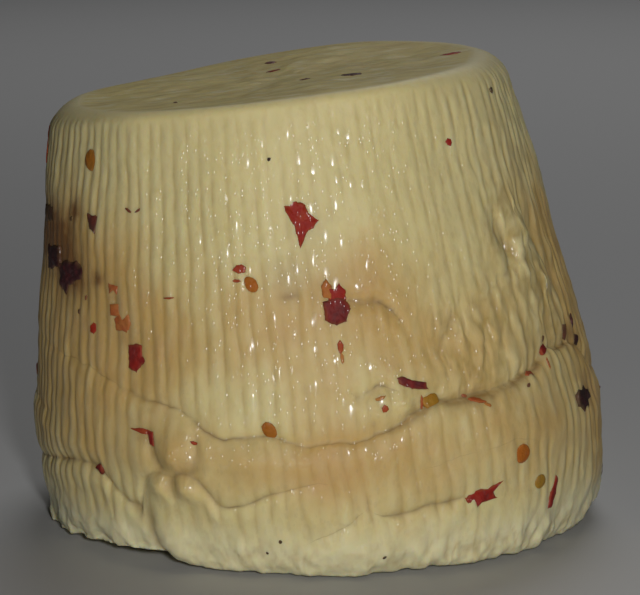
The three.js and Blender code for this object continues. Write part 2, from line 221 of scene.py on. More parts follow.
# Where the skin is broken into puffs of curd: angle, height, spread in angle, spread in height and size
PUFFY = (
    (38, 46, 10, 9, 0.9), (54, 62, 10, 13, 0.8), (30, 38, 9, 4, 0.7), (14, 37, 5, 4, 0.6),
    (62, 48, 9, 10, 0.7), (-27, 24, 10, 8, 0.4), (20, 56, 12, 8, 0.3), (150, 55, 22, 16, 0.8),
    (-120, 40, 20, 14, 0.6), (-15, 5, 14, 4, 0.5), (25, 4, 20, 4, 0.7), (55, 4, 14, 4, 0.6),
)
PUFF_NOISE = (3.4, 15.7, 1.0, 1.7)
PUFF_CREASE = 0.14

# Rough curd on the wall, crumbs at the foot and pits in the top: the amount of each noise, then its numbers
CRAGS = ((0.35, 9.0, 2.3), (0.1, 3.0, 8.1, 2.0, 2.0))
CRUMBS = ((1.3, 5.0, 4.4, 3.0), (0.4, 2.0, 8.8, 3.0))
CRUMB_POWER = 2.2
PITS = ((0.45, 7.0, 1.3), (0.2, 3.6, 6.1, 1.0))

# Relief of the wall fades out this near the table and the top, and noise drifts this far over the top
WALL_FADES = (2.0, 3.0)
TOP_DRIFT = 7.0

# How deep the ribs are, by angle
RIB_MARKS = ((-180, 1), (-20, 1), (15, 1.1), (40, 1.5), (72, 1.5), (100, 1), (180, 1))

# How much the ribs are broken into short strokes, by angle
BREAK_MARKS = (
    (-180, 0.7), (-100, 0.65), (-55, 0.6), (-30, 0.5), (-12, 0.65), (12, 0.95), (75, 0.95), (180, 0.7),
)
STROKE_NOISE = (2.6, 11.3, 2.0, 1.9)
STROKE_RANGE = (-0.4, 0.3)

# Where the cheese is a warmer tan, and where tan is laid on the far left and right sides as painted shade
# where the light falls away: angle, height, spread in angle, spread in height and strength
TAN_AND_SIDE_SHADE_PATCHES = (
    (5, 84, 18, 12, -0.5), (-44, 54, 15, 20, 1.0), (86, 30, 12, 30, 0.75), (0, 52, 22, 13, 0.8),
    (17, 60, 9, 11, 0.5), (-30, 47, 17, 12, 0.5), (4, 24, 22, 9, 1.0), (-45, 30, 14, 10, 0.3),
    (30, 47, 14, 9, 0.4), (-27, 24, 9, 8, 0.3), (48, 24, 12, 8, 0.4), (110, 40, 40, 22, 0.6),
    (-140, 60, 40, 20, 0.6), (170, 25, 40, 12, 0.7), (38, 30, 26, 16, 0.45), (-55, 40, 20, 24, 0.5),
    (76, 28, 12, 22, 0.8), (-74, 42, 14, 28, 0.9), (45, 56, 14, 14, 0.3), (74, 62, 12, 18, 0.65),
    (57, 62, 9, 13, 0.2), (60, 78, 12, 14, 0.15), (-62, 66, 14, 18, 0.8),
)

# Rows of the skin, and the columns that are drawn together towards the middles of the top and the underside
UNDER_ROWS = 5
WALL_ROWS = 112
TOP_ROWS = 30
CAP_GROUP = 5
MIDDLE_GROUP = 35
MIDDLE_SHARE = 0.15

# Bands of closer rows: the share of the wall's rows where one ends and the other starts, and their heights
FOOT_BAND = (0.06, 3.0)
SHOULDER_BAND = (0.90, 6.5)

# Rows are drawn towards the long seams from this far and by this share
ROW_REACH = 3.5
ROW_DRAW = 0.6

# Points nearer than this are merged, which closes the skin at the back and in its middles
MERGE_DISTANCE = 0.004

# Chilli flakes with drawn outlines on the wall: angle, height, tone from orange to black, a veil of cheese
# over it, how far it stands out, and its corners, each so far to the right and up
DRAWN_FLAKES = (
    (3.1, 72.2, 0.54, 0, 0.1, (
        (-3.2, 3.4), (-2.2, 4), (-1.5, 5.2), (-0.5, 4.2), (1.1, 3.1), (1.5, 1.5), (3.4, -0.1), (2, -1.7),
        (1, -1.9), (0, -3.6), (-0.9, -5.2), (-1.4, -2.6), (-1.7, -0.6), (-2.5, 1),
    )),
    (8.4, 58.0, 0.58, 0, 0.05, (
        (-1.8, 1.2), (-0.3, 0.6), (0.8, 2.0), (1.9, 0.4), (1.6, -2.2), (-1.8, -2.2),
    )),
    (6.4, 58.8, 0.22, 0.05, 0.1, ((-1.0, 0.8), (0.1, 2.1), (1.1, 0.5), (0.7, -2.2), (-1.0, -1.4))),
    (7.9, 54.4, 0.73, 0, 0.2, (
        (-2.6, 2.3), (0, 2.8), (2.0, 2.3), (2.8, 0.4), (1.8, -2.3), (-0.4, -2.8), (-2.6, -1.6),
    )),
    (-68, 63.6, 0.90, 0, 0.1, (
        (-5, 2.4), (-2.2, 2.2), (0.4, 2.8), (2.6, 2.6), (4.6, 3.1), (4.6, 0.8), (5.2, -1.4), (2.0, -1.6),
        (-0.6, -2.6), (-4, -2.8), (-4.2, 0),
    )),
    (-57.5, 60.9, 0.88, 0, 0.1, (
        (-5.6, 2.2), (-3.4, 2.4), (-1.8, 3.2), (0.8, 2.8), (2.6, 3.5), (4.6, 2.2), (6.3, 2.2), (5.4, 0.2),
        (3.4, -0.8), (1.6, -1.4), (-0.6, -2.2), (-1.8, -4.2), (-3.4, -3.2), (-5.2, -2.4), (-5.0, 0.2),
    )),
    (-72.5, 72.9, 0.95, 0.1, 0.1, ((-3.6, 1.6), (3.4, 1.9), (3.6, -1.2), (-3.2, -2))),
    (-48.4, 73, 0.84, 0.05, 0, ((-2, 2), (1.8, 1.5), (1, -2.2), (-0.7, -1.2))),
    (-35.4, 45.6, 0.66, 0, 0.1, (
        (-2.2, 2.6), (-0.7, 3), (1.2, 2.4), (1.2, 0.5), (3, -0.8), (1, -1.5), (-0.2, -3.2), (-2.2, -2.2),
    )),
    (-39.1, 52.8, 0.33, 0.15, 0, (
        (-2.3, 0.6), (-0.9, 1.7), (0.1, 0.5), (1.6, 1.7), (2.2, -0.3), (1, -2.2), (-1.8, -1.7),
    )),
    (-41.2, 55.2, 0.32, 0.15, 0, ((-1.3, 1.2), (1.2, 1.3), (1.2, -1.2), (-1.2, -1.2))),
    (-41.4, 59.6, 0.42, 0.2, 0, ((-1.2, 1.2), (1.4, 0.6), (1, -1.2), (0.3, 0), (-1.2, -1))),
    (20.5, 39.3, 0.76, 0, 0.15, (
        (-3, 1.7), (-1.6, 1.8), (0.2, 0.6), (3.3, -0.4), (3.3, -1.8), (0, -1.2), (-2.4, 0.2),
    )),
    (32.4, 15.2, 0.58, 0, 0.1, (
        (-3.8, 0.6), (-1.7, 1.9), (1.4, 1.5), (5.4, 2.4), (2.6, 0.5), (3.4, -1), (-0.5, -1.2), (-2.4, -3),
        (-3.8, -1.5),
    )),
    (51.8, 12, 0.6, 0, 0.1, ((-1.7, -3.2), (-1.1, 0.5), (0.6, 3.8), (1.6, 3), (1, -0.7), (-0.2, -3.2))),
    (68, 28, 0.93, 0, 0.1, (
        (-4.6, 1.4), (-3, 2.4), (-1.2, 1.8), (0.6, 2.6), (2.2, 1.2), (5, 1.6), (4.2, 0.2), (4.8, -1.4),
        (1.6, -1.2), (0.4, -2.6), (-1.6, -2.0), (-3.2, -2.8), (-4.8, -0.8),
    )),
    (-33.8, 30.3, 0.46, 0.05, 0, ((-2.8, 1), (0.4, 1.2), (2.6, 0.7), (1.8, -0.2), (-0.6, 0.2))),
    (-31.8, 29.5, 0.62, 0, 0, ((-0.8, 1.6), (0.7, 1.4), (0.8, -1.6), (-0.3, -1.2))),
)

# Drawn flakes bend round the wall, falling by this share of the square of the distance across
FLAKE_BEND = 0.5 / BELLY_RADIUS

# Plainer flakes, fibres and specks: angle, height, length, width, turn from upright, tone, veil and how far
# it stands out
PLAIN_FLAKES = (
    (-46.5, 20.6, 3.4, 2.6, 70, 0.72, 0, 0.5), (-11, 64, 2.4, 3.2, 0, 0.5, 0.05, 0.05),
    (7.5, 47.6, 2.9, 1.6, 0, 0.42, 0, 0), (33.5, 34.3, 4.8, 1.4, -62, 0.36, 0.05, 0.1),
    (67, 41, 4.4, 1.8, 0, 0.9, 0.1, 0), (72, 38.6, 2.6, 3, 0, 0.92, 0, 0.1),
    (56, 40, 3.2, 2.8, 0, 0.68, 0, 0.1), (49, 36.4, 2.4, 3.6, 20, 0.5, 0.15, 0),
    (-22.5, 29.4, 2.0, 0.9, -62, 0.5, 0.05, 0), (-47.5, 50.8, 2.6, 1.9, 10, 0.52, 0, 0),
    (-53, 53.6, 1.4, 1.0, 0, 0.85, 0.15, 0), (-50.5, 57, 1.4, 0.8, 15, 0.8, 0.15, 0),
    (-57.5, 73.2, 1.2, 1.4, 0, 0.95, 0.15, 0), (-37.5, 76, 2.4, 0.7, -62, 0.76, 0.15, 0),
    (-34.8, 76, 2.0, 0.6, 58, 0.76, 0.15, 0), (-83, 90, 3.4, 1.4, 10, 0.5, 0.15, 0),
    (-27, 58.4, 3.0, 0.5, 88, 0.5, 0.1, 0), (-12, 61.6, 0.8, 1.9, 5, 0.5, 0.15, 0),
    (14.4, 35.2, 1.8, 1.7, 0, 0.4, 0.05, 0), (13.6, 37.2, 2.6, 0.9, 75, 0.15, 0.15, 0),
    (41.5, 82.8, 1.9, 1.7, 0, 0.52, 0, 0), (61, 90.4, 1.6, 1.4, 40, 0.95, 0.1, 0),
    (-2.5, 84.8, 1.1, 0.8, 20, 0.95, 0, 0), (22.1, 35.4, 3.2, 0.8, 4, 0.42, 0.15, 0),
    (-8.5, 9.0, 0.9, 0.8, 0, 0.95, 0.1, 0), (-11.5, 6.2, 0.8, 0.7, 0, 0.95, 0.1, 0),
    (11, 5.2, 1.2, 0.6, 60, 0.95, 0.1, 0), (72, 42.4, 4.2, 0.9, 3, 0.86, 0, 0.1),
    (64, 28.6, 2.2, 0.6, 70, 0.97, 0.15, 0), (55.2, 37.4, 2.8, 0.8, 2, 0.3, 0.15, 0),
    (56.5, 42, 1.6, 1.0, 5, 0.9, 0.15, 0), (31.8, 35.2, 2.2, 0.8, -60, 0.6, 0.2, 0),
    (35.5, 33.2, 2.4, 0.8, -60, 0.1, 0.15, 0), (7.5, 45.4, 2.6, 0.9, 0, 0.15, 0.15, 0),
    (47, 34.8, 1.6, 0.8, 70, 0.9, 0.15, 0),
)

# Where chilli has stained the cheese brown: angle, height, spread in angle, spread in height and strength
STAIN_PATCHES = (
    (-61, 66, 8, 6, 1.0), (-67, 70, 8, 7, 0.8), (-77, 68, 6, 9, 0.9), (-55.5, 75, 3, 3, 0.9),
    (-57, 60, 8, 4, 0.8), (-46, 61.5, 2, 2, 0.35), (-41, 57, 2.5, 5, 0.3), (-38, 50, 3, 3, 0.3),
    (69.5, 40.5, 4, 3.5, 0.6), (69, 28.5, 4, 3, 0.5), (32.5, 35, 3.5, 1.6, 0.3), (-33.5, 30, 3, 1.6, 0.3),
    (-1, 62, 4, 4, 0.25), (4, 71, 4, 4.5, 0.25), (8, 57, 3.5, 4.5, 0.25), (-1.5, 58, 1.6, 0.9, 0.5),
    (-46, 61.4, 1.6, 1.2, 0.5),
)

# Flakes on the top: share of its radius, angle, length, width, turn and tone
TOP_FLAKES = (
    (0.78, 94, 5.7, 3.8, 60, 0.55), (0.49, 42, 4.6, 3.6, 70, 0.88), (0.3, -175, 4.5, 1.2, 80, 0.8),
    (0.58, -176, 3.4, 2.2, 70, 0.8), (0.28, 26, 2.6, 1.6, 80, 0.85), (0.72, -36, 1.4, 1.1, 0, 0.9),
)

# Chilli seeds on the wall: angle, height, length, width, turn and tone from straw yellow to brown
SEEDS = (
    (-50.5, 86, 4.6, 4.1, 0, 0.85), (-8, 32, 3.9, 2.9, -25, 0.7), (-9, 60.8, 3.8, 2.6, -35, 0.6),
    (24, 35.6, 3.7, 3.9, 0, 0.1), (42, 22.4, 4.2, 4.1, 20, 0.55), (47, 15.6, 3.2, 3.7, 20, 0.0),
)

# The rest are spread over the sides and back by a seeded draw, every so many of them a seed
DRAW_SEED = 11
DRAW_FACTOR = 1664525
DRAW_STEP = 1013904223
DRAW_RANGE = 2 ** 32
BACK_START = 80.0
BACK_SPAN = 202.0
BACK_PIECES = 22
BACK_JITTER = 0.4
SEED_EVERY = 4
BACK_HEIGHTS = (10.0, 88.0)
BACK_LENGTHS = (4.0, 9.0)
BACK_SLIMNESS = (0.4, 0.75)
BACK_TONES = (0.2, 0.95)
BACK_SEED = (3.7, 3.2)
BACK_SEED_SEAT = 1.3
GOLDEN_SHARE = (math.sqrt(5) - 1) / 2
BACK_SPECKS = 26
SPECK_HEIGHTS = (4, 90)
SPECK_LENGTHS = (0.8, 3.2)
SPECK_WIDTH = 0.8
SPECK_SEAT = 0.3

# Corners of chips. The CAD part draws those of its front pieces first, so that many numbers are passed over.
CAD_FLAKES = 36
CAD_SEEDS = 6
FLAKE_SIDES = 6
FLAKE_RAGGEDNESS = 0.3
PLAIN_REACH = 1.1
PLAIN_RAGGEDNESS = 0.4
SEED_SIDES = 8
SEED_CORNERS = 14
SEED_RAGGEDNESS = 0.06

# The section of a chip from the middle of its underside to the middle of its face: reach and rise
CHIP_SECTION = ((0, -1), (0.94, -1), (1, 0), (0.93, 0.6), (0.8, 0.95), (0.55, 1), (0.28, 1), (0, 1))
CHIP_SIDES = 40
TORN_EDGE = 0.06
WRINKLE_NOISE = (1.6, 3.3)
WRINKLE_SPREAD = 50.0
SUNK = 1.2
FLAKE_SIZES = {"Thickness": 0.16, "Sunk": SUNK, "Wrinkle": 0.7, "Dome": 0.06}
SEED_SIZES = {"Thickness": 0.12, "Sunk": SUNK, "Wrinkle": 0.15, "Dome": 0.22}

# The places under a chip that its seat is laid through: how many, how far out and how low and high
SEAT_POINTS = 8
DRAWN_SEAT = 1.5
SEAT_SHARE = 0.35
SEAT_HEIGHTS = (1.0, HEIGHT - 2)

# Camera, at the photograph's angle
CAMERA_AIM = Vector((0, 0, 46.8)) * MM
CAMERA_DISTANCE = 560 * MM
CAMERA_RISE = math.radians(11.1)
CAMERA_LENS = 143.2
SENSOR_WIDTH = 36.0

# Floor and lights, in metres and watts
FLOOR_SIZE = 8.0
FLOOR_GREY = 0.45
FLOOR_ROUGHNESS = 0.6
KEY_PLACE = (0.03, -0.45, 0.15)
KEY_SIZE = 0.035
KEY_POWER = 0.9
BACK_PLACE = (0.25, 1.1, 1.3)
BACK_AIM = (0.0, 0.6, 0.0)
BACK_SIZE = 1.0
BACK_POWER = 6.8
ROOM_LIGHT = 0.008

# How far noise is spread about zero, and how far round a patch also shows past the back
NOISE_SPREAD = 3.0
FAR_ROUND = 100


class Socket:
    """An output of a node. Arithmetic on it adds Math nodes to its tree."""

    def __init__(self, tree, socket):
        self.tree = tree
        self.socket = socket

    def output(self, name):
        """Another output of the same node."""
        return Socket(self.tree, self.socket.node.outputs[name])

    def math(self, operation, *others):
        return self.tree.node("ShaderNodeMath", {"operation": operation}, dict(enumerate((self, *others))))

    def reflected(self, operation, other):
        return self.tree.node("ShaderNodeMath", {"operation": operation}, {0: other, 1: self})

    def __add__(self, other):
        return self.math("ADD", other)

    def __sub__(self, other):
        return self.math("SUBTRACT", other)

    def __mul__(self, other):
        return self.math("MULTIPLY", other)

    def __truediv__(self, other):
        return self.math("DIVIDE", other)

    def __pow__(self, other):
        return self.math("POWER", other)

    def __radd__(self, other):
        return self.reflected("ADD", other)

    def __rsub__(self, other):
        return self.reflected("SUBTRACT", other)

    def __rmul__(self, other):
        return self.reflected("MULTIPLY", other)

    def __neg__(self):
        return self * -1.0

    def __abs__(self):
        return self.math("ABSOLUTE")

    def __lt__(self, other):
        return self.math("LESS_THAN", other)

    def held(self, low=0.0, high=1.0):
        """The value kept between two limits."""
        return self.math("MAXIMUM", low).math("MINIMUM", high)

    def bell(self, width):
        """One where the value is zero, falling away on both sides over a width."""
        share = self / width
        return (-(share * share)).math("EXPONENT")

    def crease(self, width):
        """One where the value is zero, falling away from a sharp point on both sides."""
        return (abs(self) / -width).math("EXPONENT")

    def step(self, low, high):
        """A smooth rise from zero to one between two values."""
        return self.tree.node(
            "ShaderNodeMapRange", {"interpolation_type": "SMOOTHSTEP"},
            {"Value": self, "From Min": low, "From Max": high},
        )


class Tree:
    """A node tree that grows by one method."""

    def __init__(self, nodes):
        self.nodes = nodes

    def node(self, kind, settings=None, inputs=None, output=None):
        """Adds a node with its settings and its sockets' values or links, and gives one of its outputs."""
        made = self.nodes.nodes.new(kind)
        for name, value in (settings or {}).items():
            setattr(made, name, value)
        for key, value in (inputs or {}).items():
            socket = made.inputs[key]
            if isinstance(key, str):
                socket = next(each for each in made.inputs if each.enabled and each.name == key)
            if isinstance(value, Socket):
                self.nodes.links.new(value.socket, socket)
            else:
                socket.default_value = value
        shown = [each for each in made.outputs if each.enabled]
        wanted = [each for each in shown if each.name == output]
        return Socket(self, (wanted or shown)[0]) if shown else made

    def vector(self, x, y, z):
        return self.node("ShaderNodeCombineXYZ", {}, {0: x, 1: y, 2: z})

    def parts(self, vector):
        """The three components of a vector."""
        x = self.node("ShaderNodeSeparateXYZ", {}, {0: vector})
        return x, x.output("Y"), x.output("Z")

    def vectors(self, operation, *inputs):
        return self.node("ShaderNodeVectorMath", {"operation": operation}, dict(enumerate(inputs)))

    def along(self, at, marks, column):
        """One column of a list of marks, taken linearly between them at a share of the list's range."""
        start, end = marks[0][0], marks[-1][0]
        values = [mark[column] for mark in marks]
        low = min(values)
        span = (max(values) - low) or 1.0
        read = self.node("ShaderNodeFloatCurve", {}, {"Value": at})
        mapping = read.socket.node.mapping
        points = mapping.curves[0].points
        for mark in marks[1:-1]:
            points.new((mark[0] - start) / (end - start), 0.5)
        for point, mark, value in zip(points, marks, values):
            point.location = ((mark[0] - start) / (end - start), (value - low) / span)
            point.handle_type = "VECTOR"
        mapping.update()
        return read * span + low

    def noise(self, place, size, shift=0.0, detail=2.0, tall=1.0, wide=1.0):
        """Noise about zero, mostly within one either way, in lumps of a size that may be taller or wider."""
        shares = (1 / (size * wide), 1 / size, 1 / (size * tall))
        moved = self.vectors("MULTIPLY_ADD", place, shares, (shift, shift, shift))
        drawn = self.node("ShaderNodeTexNoise", {}, {"Vector": moved, "Scale": 1.0, "Detail": detail})
        return (drawn - 0.5) * NOISE_SPREAD

    def uneven(self, place, rows):
        """The sum of noises, each with its amount and then its numbers."""
        return sum(self.noise(place, *numbers) * amount for amount, *numbers in rows)

    def hill(self, degrees, height, centre, at_height, spread, rise):
        """One at an angle and a height, falling away over a spread in angle and a rise."""
        hills = []
        twin = centre - math.copysign(360, centre)
        for middle in (centre, twin) if abs(centre) > FAR_ROUND else (centre,):
            across = degrees.math("MULTIPLY_ADD", 1 / spread, -middle / spread)
            upright = height.math("MULTIPLY_ADD", 1 / rise, -at_height / rise)
            squares = upright.math("MULTIPLY_ADD", upright, across * across)
            hills.append(squares.reflected("POWER", 1 / math.e))
        return sum(hills)

    def hills(self, degrees, height, rows):
        """The sum of hills, each with the four numbers that place it and its size."""
        return sum(self.hill(degrees, height, *place) * size for *place, size in rows)

    def blend(self, share, first, second):
        """A colour between two colours."""
        return self.node(
            "ShaderNodeMix", {"data_type": "RGBA"}, {"Factor": share, "A": first, "B": second}, "Result",
        )


def geometry_tree(name, sizes, takes_geometry):
    """A Geometry Nodes tree with named inputs, and those inputs as sockets."""
    group = bpy.data.node_groups.new(name, "GeometryNodeTree")
    if takes_geometry:
        group.interface.new_socket("Geometry", in_out="INPUT", socket_type="NodeSocketGeometry")
    for label in sizes:
        group.interface.new_socket(label, in_out="INPUT", socket_type="NodeSocketFloat")
    group.interface.new_socket("Geometry", in_out="OUTPUT", socket_type="NodeSocketGeometry")
    tree = Tree(group)
    first = tree.node("NodeGroupInput")
    labels = ["Geometry", *sizes] if takes_geometry else list(sizes)
    return tree, {label: first.output(label) for label in labels}


def end_tree(tree, geometry, material):
    """Merges what meets, smooths the shading, and ends the tree with plain geometry in its material."""
    distance = MERGE_DISTANCE * MM
    merged = tree.node("GeometryNodeMergeByDistance", {}, {"Geometry": geometry, "Distance": distance})
    smooth = tree.node("GeometryNodeSetShadeSmooth", {}, {"Geometry": merged})
    real = tree.node("GeometryNodeRealizeInstances", {}, {"Geometry": smooth})
    painted = tree.node("GeometryNodeSetMaterial", {}, {"Geometry": real, "Material": material})
    tree.node("NodeGroupOutput", {}, {"Geometry": painted})


def grown(name, tree, sizes, start):
    """A plain mesh object made by a Geometry Nodes tree from a starting mesh."""
    piece = bpy.data.objects.new(name, start)
    bpy.context.scene.collection.objects.link(piece)
    modifier = piece.modifiers.new(name, "NODES")
    modifier.node_group = tree.nodes
    for socket in tree.nodes.interface.items_tree:
        if socket.in_out == "INPUT" and socket.name in sizes:
            modifier[socket.identifier] = float(sizes[socket.name])
    evaluated = piece.evaluated_get(bpy.context.evaluated_depsgraph_get())
    mesh = bpy.data.meshes.new_from_object(evaluated)
    piece.modifiers.remove(modifier)
    piece.data = mesh
    return piece


def stored(tree, geometry, name, value):
    return tree.node(
        "GeometryNodeStoreNamedAttribute", {"data_type": "FLOAT", "domain": "POINT"},
        {"Geometry": geometry, "Name": name, "Value": value},
    )


def named(tree, name, kind="FLOAT"):
    return tree.node("GeometryNodeInputNamedAttribute", {"data_type": kind}, {"Name": name}, "Attribute")


def scaled(tree, vector, share):
    return tree.node("ShaderNodeVectorMath", {"operation": "SCALE"}, {0: vector, "Scale": share})


def waves_round(waves, angle):
    """The sum of waves round the axis, each with a number of waves, a phase and a size."""
    return sum((angle * count + phase).math("SINE") * size for count, phase, size in waves)


def turned_by(around, centre):
    """Degrees from a direction, for a share of a turn counted from the back."""
    from_centre = around - (centre + 180) / 360 + 0.5
    return (from_centre.math("FRACT") - 0.5) * 360.0


# The cheese itself
CHEESE_SIZES = {
    "Height": HEIGHT, "Top radius": TOP_RADIUS, "Belly radius": BELLY_RADIUS, "Belly height": BELLY_HEIGHT,
    "Flat radius": FLAT_RADIUS, "Rib count": RIB_COUNT, "Rib depth": RIB_DEPTH, "Seam width": SEAM_WIDTH,
}


def laid_grid(tree, columns):
    """A flat grid, and the column and row of each of its points."""
    rows = UNDER_ROWS + WALL_ROWS + TOP_ROWS
    grid = tree.node(
        "GeometryNodeMeshGrid", {},
        {"Size X": columns, "Size Y": float(rows), "Vertices X": columns + 1.0, "Vertices Y": rows + 1},
    )
    across, upwards, _ = tree.parts(tree.node("GeometryNodeInputPosition"))
    column = (across + columns * 0.5).math("ROUND")
    row = (upwards + rows * 0.5).math("ROUND")
    return grid, column, row


def wall_height(tree, full_height, wall_share, around):
    """The height of a row of the wall, with rows closer at the foot, the shoulder and the long seams."""
    foot_rows, foot_height = FOOT_BAND
    shoulder_start, shoulder_height = SHOULDER_BAND
    in_foot = (wall_share / foot_rows).held()
    in_wall = ((wall_share - foot_rows) / (shoulder_start - foot_rows)).held()
    in_shoulder = ((wall_share - shoulder_start) / (1 - shoulder_start)).held()
    height = in_foot * foot_height + in_wall * (full_height - (foot_height + shoulder_height))
    height = height + (in_shoulder * (math.pi / 2)).math("SINE") * shoulder_height
    for seam in SEAMS[:LONG_SEAMS]:
        gap = height - tree.along(around, seam, 1)
        height = height - gap * gap.bell(ROW_REACH) * ROW_DRAW * in_foot * (1.0 - in_shoulder)
    return height


def skin_spots(tree, size, columns, column, row):
    """Where each point lies before any relief: shares of underside and top, angle, height and place."""
    spot = SimpleNamespace(column=column)
    spot.under_share = (row / UNDER_ROWS).held()
    spot.is_under = row < UNDER_ROWS + 0.5
    wall_share = ((row - (UNDER_ROWS + 1)) / (WALL_ROWS - 1)).held()
    spot.top_share = 1.0 - ((row - (UNDER_ROWS + WALL_ROWS)) / TOP_ROWS).held()
    spot.is_top = spot.top_share < 1 - 0.5 / TOP_ROWS
    middle = spot.is_under * (spot.under_share < MIDDLE_SHARE) + (spot.top_share < MIDDLE_SHARE)
    caps = spot.is_under + spot.is_top
    group = 1.0 + caps * (CAP_GROUP - 1.0) + middle * float(MIDDLE_GROUP - CAP_GROUP)
    drawn = (column / group + 0.5).math("FLOOR") * group
    spot.around = ((drawn - COLUMNS_A_RIB / 2) / columns).math("FRACT")
    spot.angle = (spot.around - 0.5) * (2 * math.pi)
    spot.degrees = (spot.around - 0.5) * 360.0
    spot.height = wall_height(tree, size["Height"], wall_share, spot.around)
    spot.place = tree.vector(
        spot.angle.math("SINE") * BELLY_RADIUS, spot.angle.math("COSINE") * -BELLY_RADIUS,
        spot.height - spot.top_share * TOP_DRIFT,
    )
    foot_fade, top_fade = WALL_FADES
    spot.on_wall = (spot.height / foot_fade).held() * ((size["Height"] - spot.height) / top_fade).held()
    spot.under_belly = (1.0 - spot.height / size["Belly height"]).held()
    return spot


def seam_relief(tree, size, spot):
    """Cuts and lips along the seams, the ledge under the upper one, and each seam's gap and depth."""
    calm = 1.0 - tree.hill(spot.degrees, spot.height, *EVEN_SEAMS)
    jag = tree.noise(spot.place, *JAG_NOISE) * calm * SEAM_JAG
    upwards = spot.height / size["Height"]
    cuts = []
    gaps = []
    for seam in SEAMS:
        gap = spot.height + jag - tree.along(spot.around, seam, 1)
        depth = tree.along(spot.around, seam, 2)
        cuts.append(depth * gap.crease(size["Seam width"]) * spot.on_wall)
        gaps.append((gap, depth))
    for upright in UPRIGHTS:
        gap = spot.degrees + jag * UPRIGHT_JAG - tree.along(upwards, upright, 1)
        depth = tree.along(upwards, upright, 2)
        cuts.append(depth * (gap * (BELLY_RADIUS * math.pi / 180)).crease(size["Seam width"]))
    uneven_depth = tree.noise(spot.place, *DEPTH_NOISE) * DEPTH_CHANGE + DEPTH_LEVEL
    lips = sum(depth * (gap + LIP_GAP).bell(LIP_WIDTH) for gap, depth in gaps) * LIP_SHARE
    upper_lips = sum(depth * (gap - LIP_GAP).bell(LIP_WIDTH) for gap, depth in gaps) * UPPER_LIP_SHARE
    upper_gap = gaps[0][0]
    below = 1.0 - upper_gap.step(-LEDGE_EDGE, LEDGE_EDGE)
    ledge = tree.along(spot.around, LEDGE_MARKS, 1) * upper_gap.crease(LEDGE_REACH)
    return SimpleNamespace(
        gaps=gaps, below=below, cut=sum(cuts) * uneven_depth.held(*DEPTH_LIMITS), lips=lips + upper_lips,
        ledge=ledge * (below * (1 + DRAWN_IN) - DRAWN_IN),
    )


def rib_relief(tree, size, spot, below):
    """Ribs that wander sideways, slip along the upper seam, break up and are smeared flat in places."""
    wander = tree.uneven(spot.place, WANDERS)
    slip = below * tree.noise(spot.place, *SLIP_NOISE)
    moved = sum(tree.hill(spot.degrees, spot.height, *patch) for patch in DISTURBED)
    bends = tree.noise(spot.place, *BEND_NOISE) * moved * DISTURBANCE
    turned = spot.angle + ((wander + bends) * WANDER + slip * SLIP) * spot.on_wall
    kept = 1.0
    for *smear, loss in SMEARS:
        kept = (1.0 - tree.hill(spot.degrees, spot.height, *smear) * loss) * kept
    strokes = tree.noise(spot.place, *STROKE_NOISE).step(*STROKE_RANGE)
    broken = (tree.along(spot.around, BREAK_MARKS, 1) + moved * MORE_BREAKS).held()
    ends = spot.height.step(*RIB_FOOT_FADE) * (size["Height"] - spot.height).step(*RIB_TOP_FADE)
    presence = ends * kept * (1.0 - broken * (1.0 - strokes)) * (1.0 - spot.is_top)
    crest = abs((spot.column * (math.pi / COLUMNS_A_RIB)).math("SINE")) ** RIB_POWER
    relief = (crest - RIB_LEVEL) * presence * size["Rib depth"] * tree.along(spot.around, RIB_MARKS, 1)
    return SimpleNamespace(turned=turned, presence=presence, crest=crest, relief=relief)


def plain_wall(tree, size, spot):
    """The wall's distance from the axis without relief: foot, belly, taper and rounded shoulder."""
    belly = size["Belly radius"]
    belly_height = size["Belly height"]
    foot = tree.along(spot.around, FOOT_MARKS, 1)
    full = (1.0 - spot.under_belly * spot.under_belly).math("SQRT")
    taper = (belly - size["Top radius"]) / (size["Height"] - belly_height)
    profile = foot + (belly - foot) * full - taper * (spot.height - belly_height).math("MAXIMUM", 0.0)
    shoulder = abs(spot.angle.math("SINE")) ** SHOULDER_POWER * SHOULDER_EXTRA + SHOULDER
    over = (spot.height - (size["Height"] - shoulder)).math("MAXIMUM", 0.0)
    rounding = shoulder - (shoulder * shoulder - over * over).math("MAXIMUM", 0.0).math("SQRT")
    return profile - rounding


def curd_lumps(tree, spot):
    """Slow waves over the whole wall, and single lumps of curd."""
    waves = sum(
        (spot.angle * count + spot.height * turns + phase).math("SINE") * amount
        for count, turns, phase, amount in LUMP_WAVES
    )
    return waves + tree.hills(spot.degrees, spot.height, LUMPS)


def points_in_place(tree, size, spot, wall, turned):
    """Each point on the wall, the top or the underside, leaning and sloping as the cheese does."""
    under_radius = spot.under_share * size["Flat radius"]
    radius = wall * spot.top_share * (1.0 - spot.is_under) + under_radius * spot.is_under
    side = radius * turned.math("SINE")
    front = radius * turned.math("COSINE")
    rise = spot.height / size["Height"]
    swells = sum(
        turned_by(spot.around, centre).bell(spread) * amount for centre, spread, amount in RIM_SWELLS
    )
    rim = swells * rise ** float(RIM_REACH) * radius / size["Top radius"]
    scallops = (tree.noise(spot.place, *SCALLOP_NOISE) * SCALLOP_HEIGHT).held(0.0, SCALLOP_HEIGHT)
    near_table = (1.0 - spot.height / LIFT_REACH).held() ** LIFT_POWER
    lift = (tree.along(spot.around, FOOT_MARKS, 2) + scallops) * near_table
    dent = waves_round(TOP_WAVES, spot.angle) * spot.top_share - (1.0 - spot.top_share) * TOP_DISH
    pits = tree.uneven(tree.vector(side, front, 0.0), PITS)
    top = (dent + pits) * (1.0 - spot.top_share ** float(TOP_EDGE_POWER))
    level = (spot.height + rise * side * TOP_SLOPE + rim + lift + top) * (1.0 - spot.is_under)
    x = spot.height * LEAN + side + AXIS_X
    y = AXIS_Y - front
    return scaled(tree, tree.vector(x, y, level.math("MAXIMUM", 0.0)), MM)


